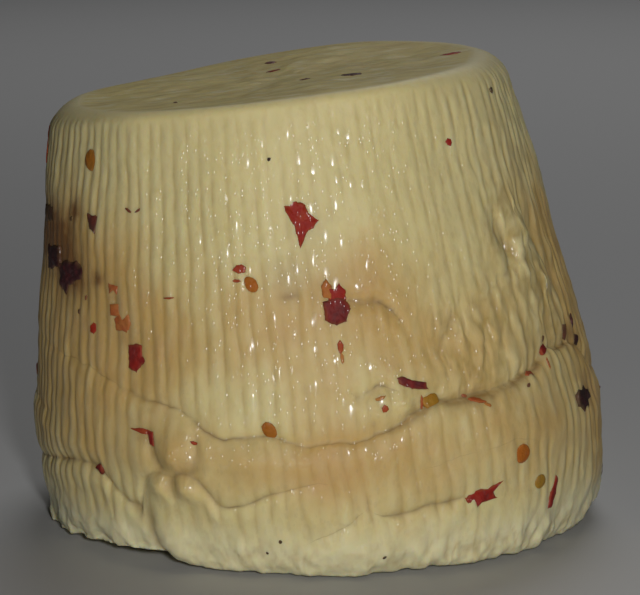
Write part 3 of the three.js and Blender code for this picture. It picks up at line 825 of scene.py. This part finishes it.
def cheese_tree(material):
    """The cheese as one grid, from the middle of the underside up the wall to the middle of the top."""
    tree, size = geometry_tree("cheese", CHEESE_SIZES, False)
    columns = size["Rib count"] * float(COLUMNS_A_RIB)
    grid, column, row = laid_grid(tree, columns)
    spot = skin_spots(tree, size, columns, column, row)
    seams = seam_relief(tree, size, spot)
    ribs = rib_relief(tree, size, spot, seams.below)
    puffy = tree.hills(spot.degrees, spot.height, PUFFY)
    folds = tree.noise(spot.place, *PUFF_NOISE)
    foot_edge = waves_round(FOOT_WAVES, spot.angle) * spot.under_belly * spot.under_belly
    crumbs = tree.uneven(spot.place, CRUMBS) * spot.under_belly ** CRUMB_POWER
    crags = tree.uneven(spot.place, CRAGS) * spot.on_wall
    wall = plain_wall(tree, size, spot) + curd_lumps(tree, spot) + seams.ledge + seams.lips - seams.cut
    wall = wall + ribs.relief + abs(folds) * puffy * spot.on_wall + foot_edge + crumbs + crags
    looks_of_skin = {
        "crest": ribs.crest * ribs.presence,
        "presence": ribs.presence,
        "crack": seams.cut,
        # Painted shade in the creases between puffs of curd
        "fold_shade": puffy * folds.crease(PUFF_CREASE) * spot.on_wall,
        "top": spot.is_top,
        "rise": spot.height / size["Height"],
        # Tan patches, and tan on the far left and right sides as painted shade
        "tan_and_side_shade": tree.hills(spot.degrees, spot.height, TAN_AND_SIDE_SHADE_PATCHES),
        "stain": tree.hills(spot.degrees, spot.height, STAIN_PATCHES),
    }
    # Lines along the seams, darkened in the material partly by a tint of their own and partly as painted
    # shade in the cracks
    for number, (gap, depth) in enumerate(seams.gaps):
        looks_of_skin[f"line_{number}"] = gap / (depth * depth + LEAST_LINE)
    shaped = grid
    for name, value in looks_of_skin.items():
        shaped = stored(tree, shaped, name, value)
    point = points_in_place(tree, size, spot, wall, ribs.turned)
    shaped = tree.node("GeometryNodeSetPosition", {}, {"Geometry": shaped, "Position": point})
    end_tree(tree, shaped, material)
    return tree


# Chips of chilli: flat outlines made from arrays, set in their seats by a tree
CHIP_VECTORS = ("seat", "lengthwise", "crosswise", "outward")
CHIP_VALUES = ("tone", "veil", "proud", "draw", "bend")


def chip_tree(name, sizes, material):
    """Sets flat chips in their seats on the cheese, and gives them thickness and wrinkles."""
    tree, size = geometry_tree(name, sizes, True)
    seat, lengthwise, crosswise, outward = (named(tree, each, "FLOAT_VECTOR") for each in CHIP_VECTORS)
    along_it, across_it, level = tree.parts(named(tree, "local", "FLOAT_VECTOR"))
    spread = tree.vector(along_it, across_it, named(tree, "draw") * WRINKLE_SPREAD)
    thickness = size["Thickness"] + named(tree, "proud")
    wrinkled = thickness * (1.0 + tree.noise(spread, *WRINKLE_NOISE) * size["Wrinkle"])
    domed = size["Dome"] * (1.0 - named(tree, "reach") ** 2.0)
    rise = level.held() * (wrinkled + domed) + level.math("MINIMUM", 0.0) * size["Sunk"]
    rise = rise - across_it * across_it * named(tree, "bend")
    point = tree.vectors("ADD", seat, scaled(tree, lengthwise, along_it * MM))
    point = tree.vectors("ADD", point, scaled(tree, crosswise, across_it * MM))
    point = tree.vectors("ADD", point, scaled(tree, outward, rise * MM))
    shaped = tree.node("GeometryNodeSetPosition", {}, {"Geometry": size["Geometry"], "Position": point})
    end_tree(tree, shaped, material)
    return tree


def outline_ring(corners):
    """Points round an outline: its corners, and others evenly between them."""
    ring = np.array(corners + corners[:1])
    steps = np.hypot(*np.diff(ring, axis=0).T)
    at = np.concatenate(([0], np.cumsum(steps)))
    between_them = np.linspace(0, at[-1], CHIP_SIDES - len(corners), endpoint=False)
    spots = np.sort(np.concatenate((at[:-1], between_them + 0.5 * at[-1] / len(between_them))))
    return np.stack([np.interp(spots, at, ring[:, 0]), np.interp(spots, at, ring[:, 1])], axis=1)


def chips_mesh(name, chips, torn):
    """All chips of a kind as one mesh of flat outlines, with their seats and looks as attributes."""
    draw = np.random.default_rng(DRAW_SEED)
    reaches, levels = np.array(CHIP_SECTION).T
    count = len(reaches) * CHIP_SIDES
    local = []
    faces = []
    for number, chip in enumerate(chips):
        ring = outline_ring(chip["corners"]) * (1 + torn * draw.uniform(-1, 1, (CHIP_SIDES, 1)))
        flat = (reaches[:, None, None] * ring[None]).reshape(-1, 2)
        local.append(np.column_stack([flat, np.repeat(levels, CHIP_SIDES)]))
        for row in range(len(reaches) - 1):
            near = number * count + row * CHIP_SIDES
            far = near + CHIP_SIDES
            for side in range(CHIP_SIDES):
                beside = (side + 1) % CHIP_SIDES
                faces.append((near + side, near + beside, far + beside, far + side))
    points = np.concatenate(local)
    mesh = bpy.data.meshes.new(name)
    mesh.from_pydata(points * MM, [], faces)
    vectors = {"local": points}
    for label in CHIP_VECTORS:
        vectors[label] = np.repeat([chip[label] for chip in chips], count, axis=0)
    values = {"reach": np.tile(np.repeat(reaches, CHIP_SIDES), len(chips))}
    for label in CHIP_VALUES:
        values[label] = np.repeat([chip.get(label, 0) for chip in chips], count)
    for label, rows in vectors.items():
        column = mesh.attributes.new(label, "FLOAT_VECTOR", "POINT")
        column.data.foreach_set("vector", rows.astype(np.float32).ravel())
    for label, rows in values.items():
        column = mesh.attributes.new(label, "FLOAT", "POINT")
        column.data.foreach_set("value", rows.astype(np.float32))
    return mesh


# Places on the finished cheese
def wall_ray(angle, height):
    """A point on the axis at a height and the direction from there to a place on the wall, in metres."""
    side = BELLY_RADIUS * math.sin(math.radians(angle))
    start = Vector((AXIS_X + LEAN * height, AXIS_Y, height)) * MM
    rise = height / HEIGHT * TOP_SLOPE * side
    return start, Vector((side, -BELLY_RADIUS * math.cos(math.radians(angle)), rise)).normalized()


def seat_on(hits, upright, turn):
    """The plane through places on the cheese, and a chip's length and width in it."""
    points = np.array(hits)
    centre = points.mean(axis=0)
    flattest = np.linalg.svd(points - centre)[2][2]
    outward = Vector(flattest)
    middle = Vector((AXIS_X * MM, AXIS_Y * MM, BELLY_HEIGHT * MM))
    if outward.dot(Vector(centre) - middle) < 0:
        outward = -outward
    across = upright.cross(outward).normalized()
    up = outward.cross(across).normalized()
    turned = math.radians(turn)
    lengthwise = up * math.cos(turned) + across * math.sin(turned)
    crosswise = outward.cross(lengthwise)
    return {"seat": Vector(centre), "lengthwise": lengthwise, "crosswise": crosswise, "outward": outward}


def ring_round(reach):
    """Places evenly round a chip's middle, each so far across and up."""
    turns = [step * 2 * math.pi / SEAT_POINTS for step in range(SEAT_POINTS)]
    return [(reach * math.cos(turn), reach * math.sin(turn)) for turn in turns]


def wall_seat(skin, angle, height, reach, turn):
    """A seat on the wall for a chip that reaches so far from its middle."""
    lowest, highest = SEAT_HEIGHTS
    hits = []
    for across, up in ring_round(reach):
        at_angle = angle + math.degrees(across / BELLY_RADIUS)
        at_height = min(highest, max(lowest, height + up))
        hits.append(skin.ray_cast(*wall_ray(at_angle, at_height))[0])
    return seat_on(hits, Vector((LEAN, 0, 1)), turn)


def top_seat(skin, share, angle, reach, turn):
    """A seat on the top for a chip that reaches so far from its middle."""
    radius = share * TOP_RADIUS
    x = AXIS_X + LEAN * HEIGHT + radius * math.sin(math.radians(angle))
    y = AXIS_Y - radius * math.cos(math.radians(angle))
    hits = []
    for across, up in ring_round(reach):
        above = Vector((x + across, y + up, 2 * HEIGHT)) * MM
        hits.append(skin.ray_cast(above, Vector((0, 0, -1)))[0])
    return seat_on(hits, Vector((0, 1, 0)), turn)


# The flakes and seeds one by one
def seeded_draw(seed):
    """Numbers from zero up to one from the same small generator as the CAD part's."""
    state = seed
    while True:
        state = (state * DRAW_FACTOR + DRAW_STEP) % DRAW_RANGE
        yield state / DRAW_RANGE


def between(limits, share):
    low, high = limits
    return low + (high - low) * share


def looks(own_draw, tone, veil=0.0, proud=0.0):
    return {"tone": tone, "veil": veil, "proud": proud, "draw": next(own_draw)}


def round_corners(length, width, reaches, shift=0.5):
    """Corners round a length and a width, each at its own share of the way out."""
    turns = [(corner + shift) * 2 * math.pi / len(reaches) for corner in range(len(reaches))]
    return [
        (0.5 * reach * length * math.cos(turn), 0.5 * reach * width * math.sin(turn))
        for turn, reach in zip(turns, reaches)
    ]


def plain_corners(own_draw, length, width):
    reaches = [PLAIN_REACH - PLAIN_RAGGEDNESS * next(own_draw) for _ in range(FLAKE_SIDES)]
    return round_corners(length, width, reaches, next(own_draw))


def seed_corners(own_draw, length, width):
    reaches = [1.0 - SEED_RAGGEDNESS * next(own_draw) for _ in range(SEED_CORNERS)]
    return round_corners(length, width, reaches)


def front_chips(skin, own_draw):
    """The flakes and seeds that show from the front."""
    flakes = []
    seeds = []
    for angle, height, tone, veil, proud, corners in DRAWN_FLAKES:
        seat = wall_seat(skin, angle, height, DRAWN_SEAT, 0.0)
        look = looks(own_draw, tone, veil, proud)
        outline = [(up, -right) for right, up in reversed(corners)]
        flakes.append({**seat, **look, "corners": outline, "bend": FLAKE_BEND})
    for angle, height, length, width, turn, *tones in PLAIN_FLAKES:
        seat = wall_seat(skin, angle, height, SEAT_SHARE * width, turn)
        look = looks(own_draw, *tones)
        flakes.append({**seat, **look, "corners": plain_corners(own_draw, length, width)})
    for share, angle, length, width, turn, tone in TOP_FLAKES:
        seat = top_seat(skin, share, angle, SEAT_SHARE * width, turn)
        look = looks(own_draw, tone)
        flakes.append({**seat, **look, "corners": plain_corners(own_draw, length, width)})
    for angle, height, length, width, turn, tone in SEEDS:
        seat = wall_seat(skin, angle, height, SEAT_SHARE * width, turn)
        look = looks(own_draw, tone)
        seeds.append({**seat, **look, "corners": seed_corners(own_draw, length, width)})
    return flakes, seeds


def back_chips(skin, own_draw):
    """The flakes and seeds of the sides and back, placed by the CAD part's draw."""
    flakes = []
    seeds = []
    draw = seeded_draw(DRAW_SEED)
    for _ in range(CAD_FLAKES * FLAKE_SIDES + CAD_SEEDS * SEED_SIDES):
        next(draw)
    for count in range(BACK_PIECES):
        angle = BACK_START + BACK_SPAN * (count + 0.5 + BACK_JITTER * (next(draw) - 0.5)) / BACK_PIECES
        height = between(BACK_HEIGHTS, count * GOLDEN_SHARE % 1)
        length = between(BACK_LENGTHS, next(draw))
        width = length * between(BACK_SLIMNESS, next(draw))
        turn = 180 * next(draw)
        is_seed = count % SEED_EVERY == SEED_EVERY - 1
        sides = SEED_SIDES if is_seed else FLAKE_SIDES
        reaches = [1.0 - FLAKE_RAGGEDNESS * next(draw) for _ in range(sides)]
        if is_seed:
            seat = wall_seat(skin, angle, height, BACK_SEED_SEAT, turn)
            look = looks(own_draw, next(own_draw))
            seeds.append({**seat, **look, "corners": seed_corners(own_draw, *BACK_SEED)})
        else:
            seat = wall_seat(skin, angle, height, SEAT_SHARE * width, turn)
            look = looks(own_draw, between(BACK_TONES, next(own_draw)))
            flakes.append({**seat, **look, "corners": round_corners(length, width, reaches)})
    return flakes, seeds


def back_specks(skin, own_draw):
    """Small flakes between the larger ones of the sides and back."""
    flakes = []
    for count in range(BACK_SPECKS):
        angle = BACK_START + BACK_SPAN * (count + next(own_draw)) / BACK_SPECKS
        height = between(SPECK_HEIGHTS, next(own_draw))
        length = between(SPECK_LENGTHS, next(own_draw))
        seat = wall_seat(skin, angle, height, SPECK_SEAT, 180 * next(own_draw))
        look = looks(own_draw, between(BACK_TONES, next(own_draw)))
        flakes.append({**seat, **look, "corners": plain_corners(own_draw, length, SPECK_WIDTH)})
    return flakes


# Colours, as linear values of the shown colour
def shown(code):
    """The linear colour of a hexadecimal shown colour, by the sRGB curve."""
    parts = [int(code[at:at + 2], 16) / 255 for at in (0, 2, 4)]
    linear = [part / 12.92 if part <= 0.04045 else ((part + 0.055) / 1.055) ** 2.4 for part in parts]
    return (*linear, 1.0)


CREAM = shown("e7d9a0")
PALE = shown("eee4b4")
TAN = shown("d2ab66")
ROSE = shown("dcb68a")
# A darker, yellower tone: laid in the rib grooves partly as painted shade, in the creases between puffs as
# painted shade, and as grain and streaks on the top
GROOVE = shown("b99c58")
FOOT_TONE = shown("f2eabf")
# A brown tint of the cracks, darker than it is to stand in also as painted shade in them
CRACK_TINT_AND_SHADE = shown("8e6c3c")
STAIN = shown("7a4c26")
TOP_TONE = shown("e2cc78")
CHILLI_TONES = (
    (0.0, shown("c07c34")), (0.25, shown("b4682e")), (0.42, shown("a8401e")), (0.55, shown("9c2418")),
    (0.72, shown("7c2622")), (0.86, shown("4c2628")), (1.0, shown("2c1e1a")),
)
SEED_TONES = ((0.0, shown("a87e28")), (0.5, shown("b4621a")), (1.0, shown("9a6a26")))

# Patterns in the cheese's colour: noises, the ranges over which they show, and the most that a colour covers
TAN_NOISE = (13.0, 2.0, 3.0)
TAN_NOISE_SHARE = 0.35
TAN_RANGE = (0.0, 1.1)
TAN_COVER = 0.9
ROSE_NOISE = (8.0, 5.5)
ROSE_NOISE_SHARE = 0.6
ROSE_TAN_AND_SHADE_SHARE = 0.3
ROSE_RANGE = (0.2, 1.0)
ROSE_COVER = 0.45
GROOVE_TONE_AND_SHADE_COVER = 0.6
PALE_NOISE = (3.2, 14.0, 2.0, 6.0)
PALE_RANGE = (-0.8, 0.8)
PALE_COVER = 0.8
PALE_LOST_IN_TAN = 0.4
FOOT_NOISE = (6.0, 12.0, 3.0)
FOOT_NOISE_SHARE = 0.03
FOOT_RANGE = (0.06, 0.15)
FOOT_COVER = 0.9
FOLD_SHADE_COVER = 0.8
CRACK_RANGE = (0.3, 1.25)
CRACK_COVER = 0.5
LINE_WIDTH = 0.22
LINE_NOISE = (5.0, 19.0)
LINE_RANGE = (-0.6, 0.7)
LINE_COVER = 0.8
TOP_COVER = 0.8
STREAK_NOISE = (4.0, 2.7, 4.0, 1.0, 3.0)
STREAK_RANGE = (-0.4, 0.9)
STREAK_COVER = 0.6
CURD_NOISE = (3.4, 17.0, 3.0, 1.0, 2.4)
CURD_RANGE = (0.0, 0.7)
CURD_COVER = 0.7
GRAIN_NOISE = (1.6, 9.0, 4.0, 1.5)
GRAIN_SHARE = 0.5
GRAIN_COVER = 0.4
GRAIN_HEIGHT = 0.03
MOTTLE_NOISE = (2.4, 3.0, 3.0)
MOTTLE_SHARE = 0.4
STAIN_COVER = 0.85
SKIN_ROUGHNESS = 0.55

# Moisture: where it lies, and small and large drops with their size, stretch upwards and share of the cells
WET_NOISE = (11.0, 4.0)
WET_RANGE = (-0.9, 0.1)
DRY_RIM = (0.92, 0.97)
DRY_FOOT = 0.3
SMALL_DROPS = (0.9, 2.0, 0.45)
LARGE_DROPS = (2.2, 2.0, 0.4)
LARGE_DROP_LEVEL = 0.45
DROP_REACH = 0.45
DROP_HEIGHT = 0.16
DROP_EDGE = (0.0, 0.3)
DROP_ROUGHNESS = 0.24
FILM_SHARE = 0.045

# Patterns in the colour and relief of the chilli
TONE_NOISE = (2.2, 0.0, 3.0)
TONE_CHANGE = 0.12
VEIL_NOISE = (1.4, 7.0)
VEIL_CHANGE = 0.6
EDGE_NOISE = (1.1, 13.0)
EDGE_CHANGE = 0.12
EDGE_RANGE = (0.72, 1.05)
EDGE_TINT = 0.12
CHIP_NOISE = (1.2, 2.0, 3.0)
CHIP_RELIEF = 0.12
FLAKE_ROUGHNESS = 0.62
SEED_ROUGHNESS = 0.6


def material_tree(name):
    material = bpy.data.materials.new(name)
    material.use_nodes = True
    material.node_tree.nodes.clear()
    return material, Tree(material.node_tree)


def attribute(tree, name):
    return tree.node("ShaderNodeAttribute", {"attribute_name": name}, {}, "Fac")


def object_place(tree):
    """Object coordinates in millimetres."""
    place = tree.node("ShaderNodeTexCoord", {}, {}, "Object")
    return scaled(tree, place, 1 / MM)


def ramp(tree, at, stops):
    read = tree.node("ShaderNodeValToRGB", {}, {"Fac": at})
    elements = read.socket.node.color_ramp.elements
    for share, _ in stops[1:-1]:
        elements.new(share)
    for element, (share, colour) in zip(elements, stops):
        element.position = share
        element.color = colour
    return read


def principled(tree, inputs):
    return tree.node("ShaderNodeBsdfPrincipled", {}, inputs)


def end_material(tree, surface):
    tree.node("ShaderNodeOutputMaterial", {}, {"Surface": surface})


def bumped(tree, level, distance):
    inputs = {"Strength": 1.0, "Distance": distance * MM, "Height": level}
    return tree.node("ShaderNodeBump", {}, inputs)


def drop_domes(tree, place, size, stretch, share):
    """Low domes of moisture in a share of the cells of a size, longer upwards."""
    moved = tree.vectors("MULTIPLY", place, (1 / size, 1 / size, 1 / (size * stretch)))
    distance = tree.node("ShaderNodeTexVoronoi", {}, {"Vector": moved, "Scale": 1.0}, "Distance")
    reach = distance / DROP_REACH
    return (1.0 - reach * reach).held() * (distance.output("Color") < share) * size


def moist(tree, surface, place, wet):
    """Adds small domes of moisture that glint apart from the relief of what lies under them."""
    small = drop_domes(tree, place, *SMALL_DROPS)
    large = drop_domes(tree, place, *LARGE_DROPS)
    domes = small + large * LARGE_DROP_LEVEL
    glint = principled(tree, {
        "Normal": bumped(tree, domes, DROP_HEIGHT), "Base Color": (1, 1, 1, 1), "Metallic": 1.0,
        "Roughness": DROP_ROUGHNESS,
    })
    film = domes.step(*DROP_EDGE) * wet * FILM_SHARE
    return tree.node("ShaderNodeMixShader", {}, {"Fac": film, 1: surface, 2: glint})


def cheese_material():
    """Ivory curd: tan and rosy patches, with tan on the far sides as painted shade, yellower grooves partly
    darkened as painted shade, pale crests, cracks darkened by their tint and by painted shade, painted shade
    in the creases between puffs, stains and a wet film.
    """
    material, tree = material_tree("moist ricotta")
    place = object_place(tree)
    crest = attribute(tree, "crest")
    top = attribute(tree, "top")
    rise = attribute(tree, "rise")
    tan_and_side_shade = attribute(tree, "tan_and_side_shade")
    # Tan from noise and from the patches; on the far left and right sides this tan is painted shade
    tan = (tree.noise(place, *TAN_NOISE) * TAN_NOISE_SHARE + tan_and_side_shade).step(*TAN_RANGE)
    rosy = tree.noise(place, *ROSE_NOISE) * ROSE_NOISE_SHARE + tan_and_side_shade * ROSE_TAN_AND_SHADE_SHARE
    # Rib grooves get a yellower tone and painted shade, darker where the crest falls away
    groove_tone_and_shade = (attribute(tree, "presence") - crest).held()
    pale_ribs = crest * tree.noise(place, *PALE_NOISE).step(*PALE_RANGE)
    foot = 1.0 - (rise + tree.noise(place, *FOOT_NOISE) * FOOT_NOISE_SHARE).step(*FOOT_RANGE)
    lines = sum(attribute(tree, f"line_{number}").crease(LINE_WIDTH) for number in range(len(SEAMS)))
    broken_lines = (lines * tree.noise(place, *LINE_NOISE).step(*LINE_RANGE)).held()
    streaks = tree.noise(place, *STREAK_NOISE).step(*STREAK_RANGE)
    curds = tree.noise(place, *CURD_NOISE).step(*CURD_RANGE)
    grain = tree.noise(place, *GRAIN_NOISE)
    mottle = 1.0 + tree.noise(place, *MOTTLE_NOISE) * MOTTLE_SHARE
    layers = (
        (tan * TAN_COVER, TAN),
        (rosy.step(*ROSE_RANGE) * ROSE_COVER, ROSE),
        (groove_tone_and_shade * GROOVE_TONE_AND_SHADE_COVER, GROOVE),
        (pale_ribs * (PALE_COVER - tan * PALE_LOST_IN_TAN), PALE),
        (foot * FOOT_COVER, FOOT_TONE),
        # Painted shade in the creases between puffs
        ((attribute(tree, "fold_shade") * FOLD_SHADE_COVER).held(), GROOVE),
        # Cracks and the lines along the seams: their own brown tint and painted shade in the cracks
        (attribute(tree, "crack").step(*CRACK_RANGE) * CRACK_COVER, CRACK_TINT_AND_SHADE),
        (broken_lines * LINE_COVER, CRACK_TINT_AND_SHADE),
        (top * TOP_COVER, TOP_TONE),
        (top * streaks * STREAK_COVER, GROOVE),
        (top * curds * CURD_COVER, PALE),
        ((grain * GRAIN_SHARE).held() * GRAIN_COVER, GROOVE),
        ((attribute(tree, "stain") * mottle).held() * STAIN_COVER, STAIN),
    )
    colour = CREAM
    for share, tone in layers:
        colour = tree.blend(share, colour, tone)
    surface = principled(tree, {
        "Base Color": colour, "Normal": bumped(tree, grain, GRAIN_HEIGHT), "Roughness": SKIN_ROUGHNESS,
        "Subsurface Weight": 1.0, "Subsurface Radius": (1.0, 0.8, 0.5), "Subsurface Scale": 1.3 * MM,
        "IOR": 1.4, "Specular IOR Level": 0.5,
    })
    below_rim = 1.0 - rise.step(*DRY_RIM)
    wet = tree.noise(place, *WET_NOISE).step(*WET_RANGE) * below_rim * (1.0 - foot * DRY_FOOT)
    end_material(tree, moist(tree, surface, place, wet))
    return material


def chilli_material(name, stops, roughness):
    """Chilli in its own tones, veiled by cheese in places, with a wet film."""
    material, tree = material_tree(name)
    place = object_place(tree)
    tone = attribute(tree, "tone") + tree.noise(place, *TONE_NOISE) * TONE_CHANGE
    veil = attribute(tree, "veil") * (1.0 + tree.noise(place, *VEIL_NOISE) * VEIL_CHANGE)
    edge = (attribute(tree, "reach") + tree.noise(place, *EDGE_NOISE) * EDGE_CHANGE).step(*EDGE_RANGE)
    colour = tree.blend(veil.held(), ramp(tree, tone.held(), stops), TAN)
    colour = tree.blend(edge * EDGE_TINT, colour, TAN)
    relief = bumped(tree, tree.noise(place, *CHIP_NOISE), CHIP_RELIEF)
    surface = principled(tree, {
        "Base Color": colour, "Normal": relief, "Roughness": roughness,
        "IOR": 1.4, "Specular IOR Level": 0.35,
    })
    end_material(tree, moist(tree, surface, place, 1.0))
    return material


# The cheese, then what sits in its skin
cheese = grown("cheese_body", cheese_tree(cheese_material()), CHEESE_SIZES, bpy.data.meshes.new("start"))
skin_points = [vertex.co for vertex in cheese.data.vertices]
skin = BVHTree.FromPolygons(skin_points, [face.vertices for face in cheese.data.polygons])
own_draw = seeded_draw(DRAW_SEED + 1)
front_flakes, front_seeds = front_chips(skin, own_draw)
back_flakes, back_seeds = back_chips(skin, own_draw)
flake_rows = front_flakes + back_flakes + back_specks(skin, own_draw)
seed_rows = front_seeds + back_seeds

flake_look = chilli_material("chilli skin", CHILLI_TONES, FLAKE_ROUGHNESS)
seed_look = chilli_material("chilli seed", SEED_TONES, SEED_ROUGHNESS)
flake_tree = chip_tree("flakes", FLAKE_SIZES, flake_look)
seed_tree = chip_tree("seeds", SEED_SIZES, seed_look)
flakes = grown("chilli_flakes", flake_tree, FLAKE_SIZES, chips_mesh("flakes", flake_rows, TORN_EDGE))
seeds = grown("chilli_seeds", seed_tree, SEED_SIZES, chips_mesh("seeds", seed_rows, 0.0))

for piece, slot in ((cheese, "cheese"), (flakes, "chilli_flake"), (seeds, "chilli_seed")):
    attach(piece, "root")
    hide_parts("ricotta_salata")


# Floor, light and camera
def pale_floor():
    half = FLOOR_SIZE / 2
    corners = [(-half, -half, 0), (half, -half, 0), (half, half, 0), (-half, half, 0)]
    mesh = bpy.data.meshes.new("floor")
    mesh.from_pydata(corners, [], [(0, 1, 2, 3)])
    floor = bpy.data.objects.new("floor", mesh)
    bpy.context.scene.collection.objects.link(floor)
    look, tree = material_tree("pale floor")
    grey = (FLOOR_GREY, FLOOR_GREY, FLOOR_GREY, 1)
    end_material(tree, principled(tree, {"Base Color": grey, "Roughness": FLOOR_ROUGHNESS}))
    mesh.materials.append(look)
    return floor


def area_light(name, place, aim, size, power):
    light = bpy.data.lights.new(name, "AREA")
    light.shape = "DISK"
    light.size = size
    light.energy = power
    lamp = bpy.data.objects.new(name, light)
    lamp.location = place
    lamp.rotation_euler = (Vector(aim) - Vector(place)).to_track_quat("-Z", "Y").to_euler()
    bpy.context.scene.collection.objects.link(lamp)


def room_light():
    world = bpy.data.worlds.new("studio")
    world.use_nodes = True
    background = world.node_tree.nodes["Background"]
    background.inputs["Color"].default_value = (1.0, 1.0, 1.0, 1)
    background.inputs["Strength"].default_value = ROOM_LIGHT
    bpy.context.scene.world = world
    bpy.context.scene.view_settings.view_transform = "Standard"


def aimed_camera():
    lens = bpy.data.cameras.new("camera")
    lens.lens = CAMERA_LENS
    lens.sensor_width = SENSOR_WIDTH
    lens.sensor_fit = "HORIZONTAL"
    camera = bpy.data.objects.new("camera", lens)
    back = Vector((0, -math.cos(CAMERA_RISE), math.sin(CAMERA_RISE)))
    camera.location = CAMERA_AIM + back * CAMERA_DISTANCE
    camera.rotation_euler = (math.pi / 2 - CAMERA_RISE, 0, 0)
    bpy.context.scene.collection.objects.link(camera)
    return camera


floor = pale_floor()
area_light("key", KEY_PLACE, CAMERA_AIM, KEY_SIZE, KEY_POWER)
area_light("back", BACK_PLACE, BACK_AIM, BACK_SIZE, BACK_POWER)
room_light()
bpy.context.scene.camera = aimed_camera()
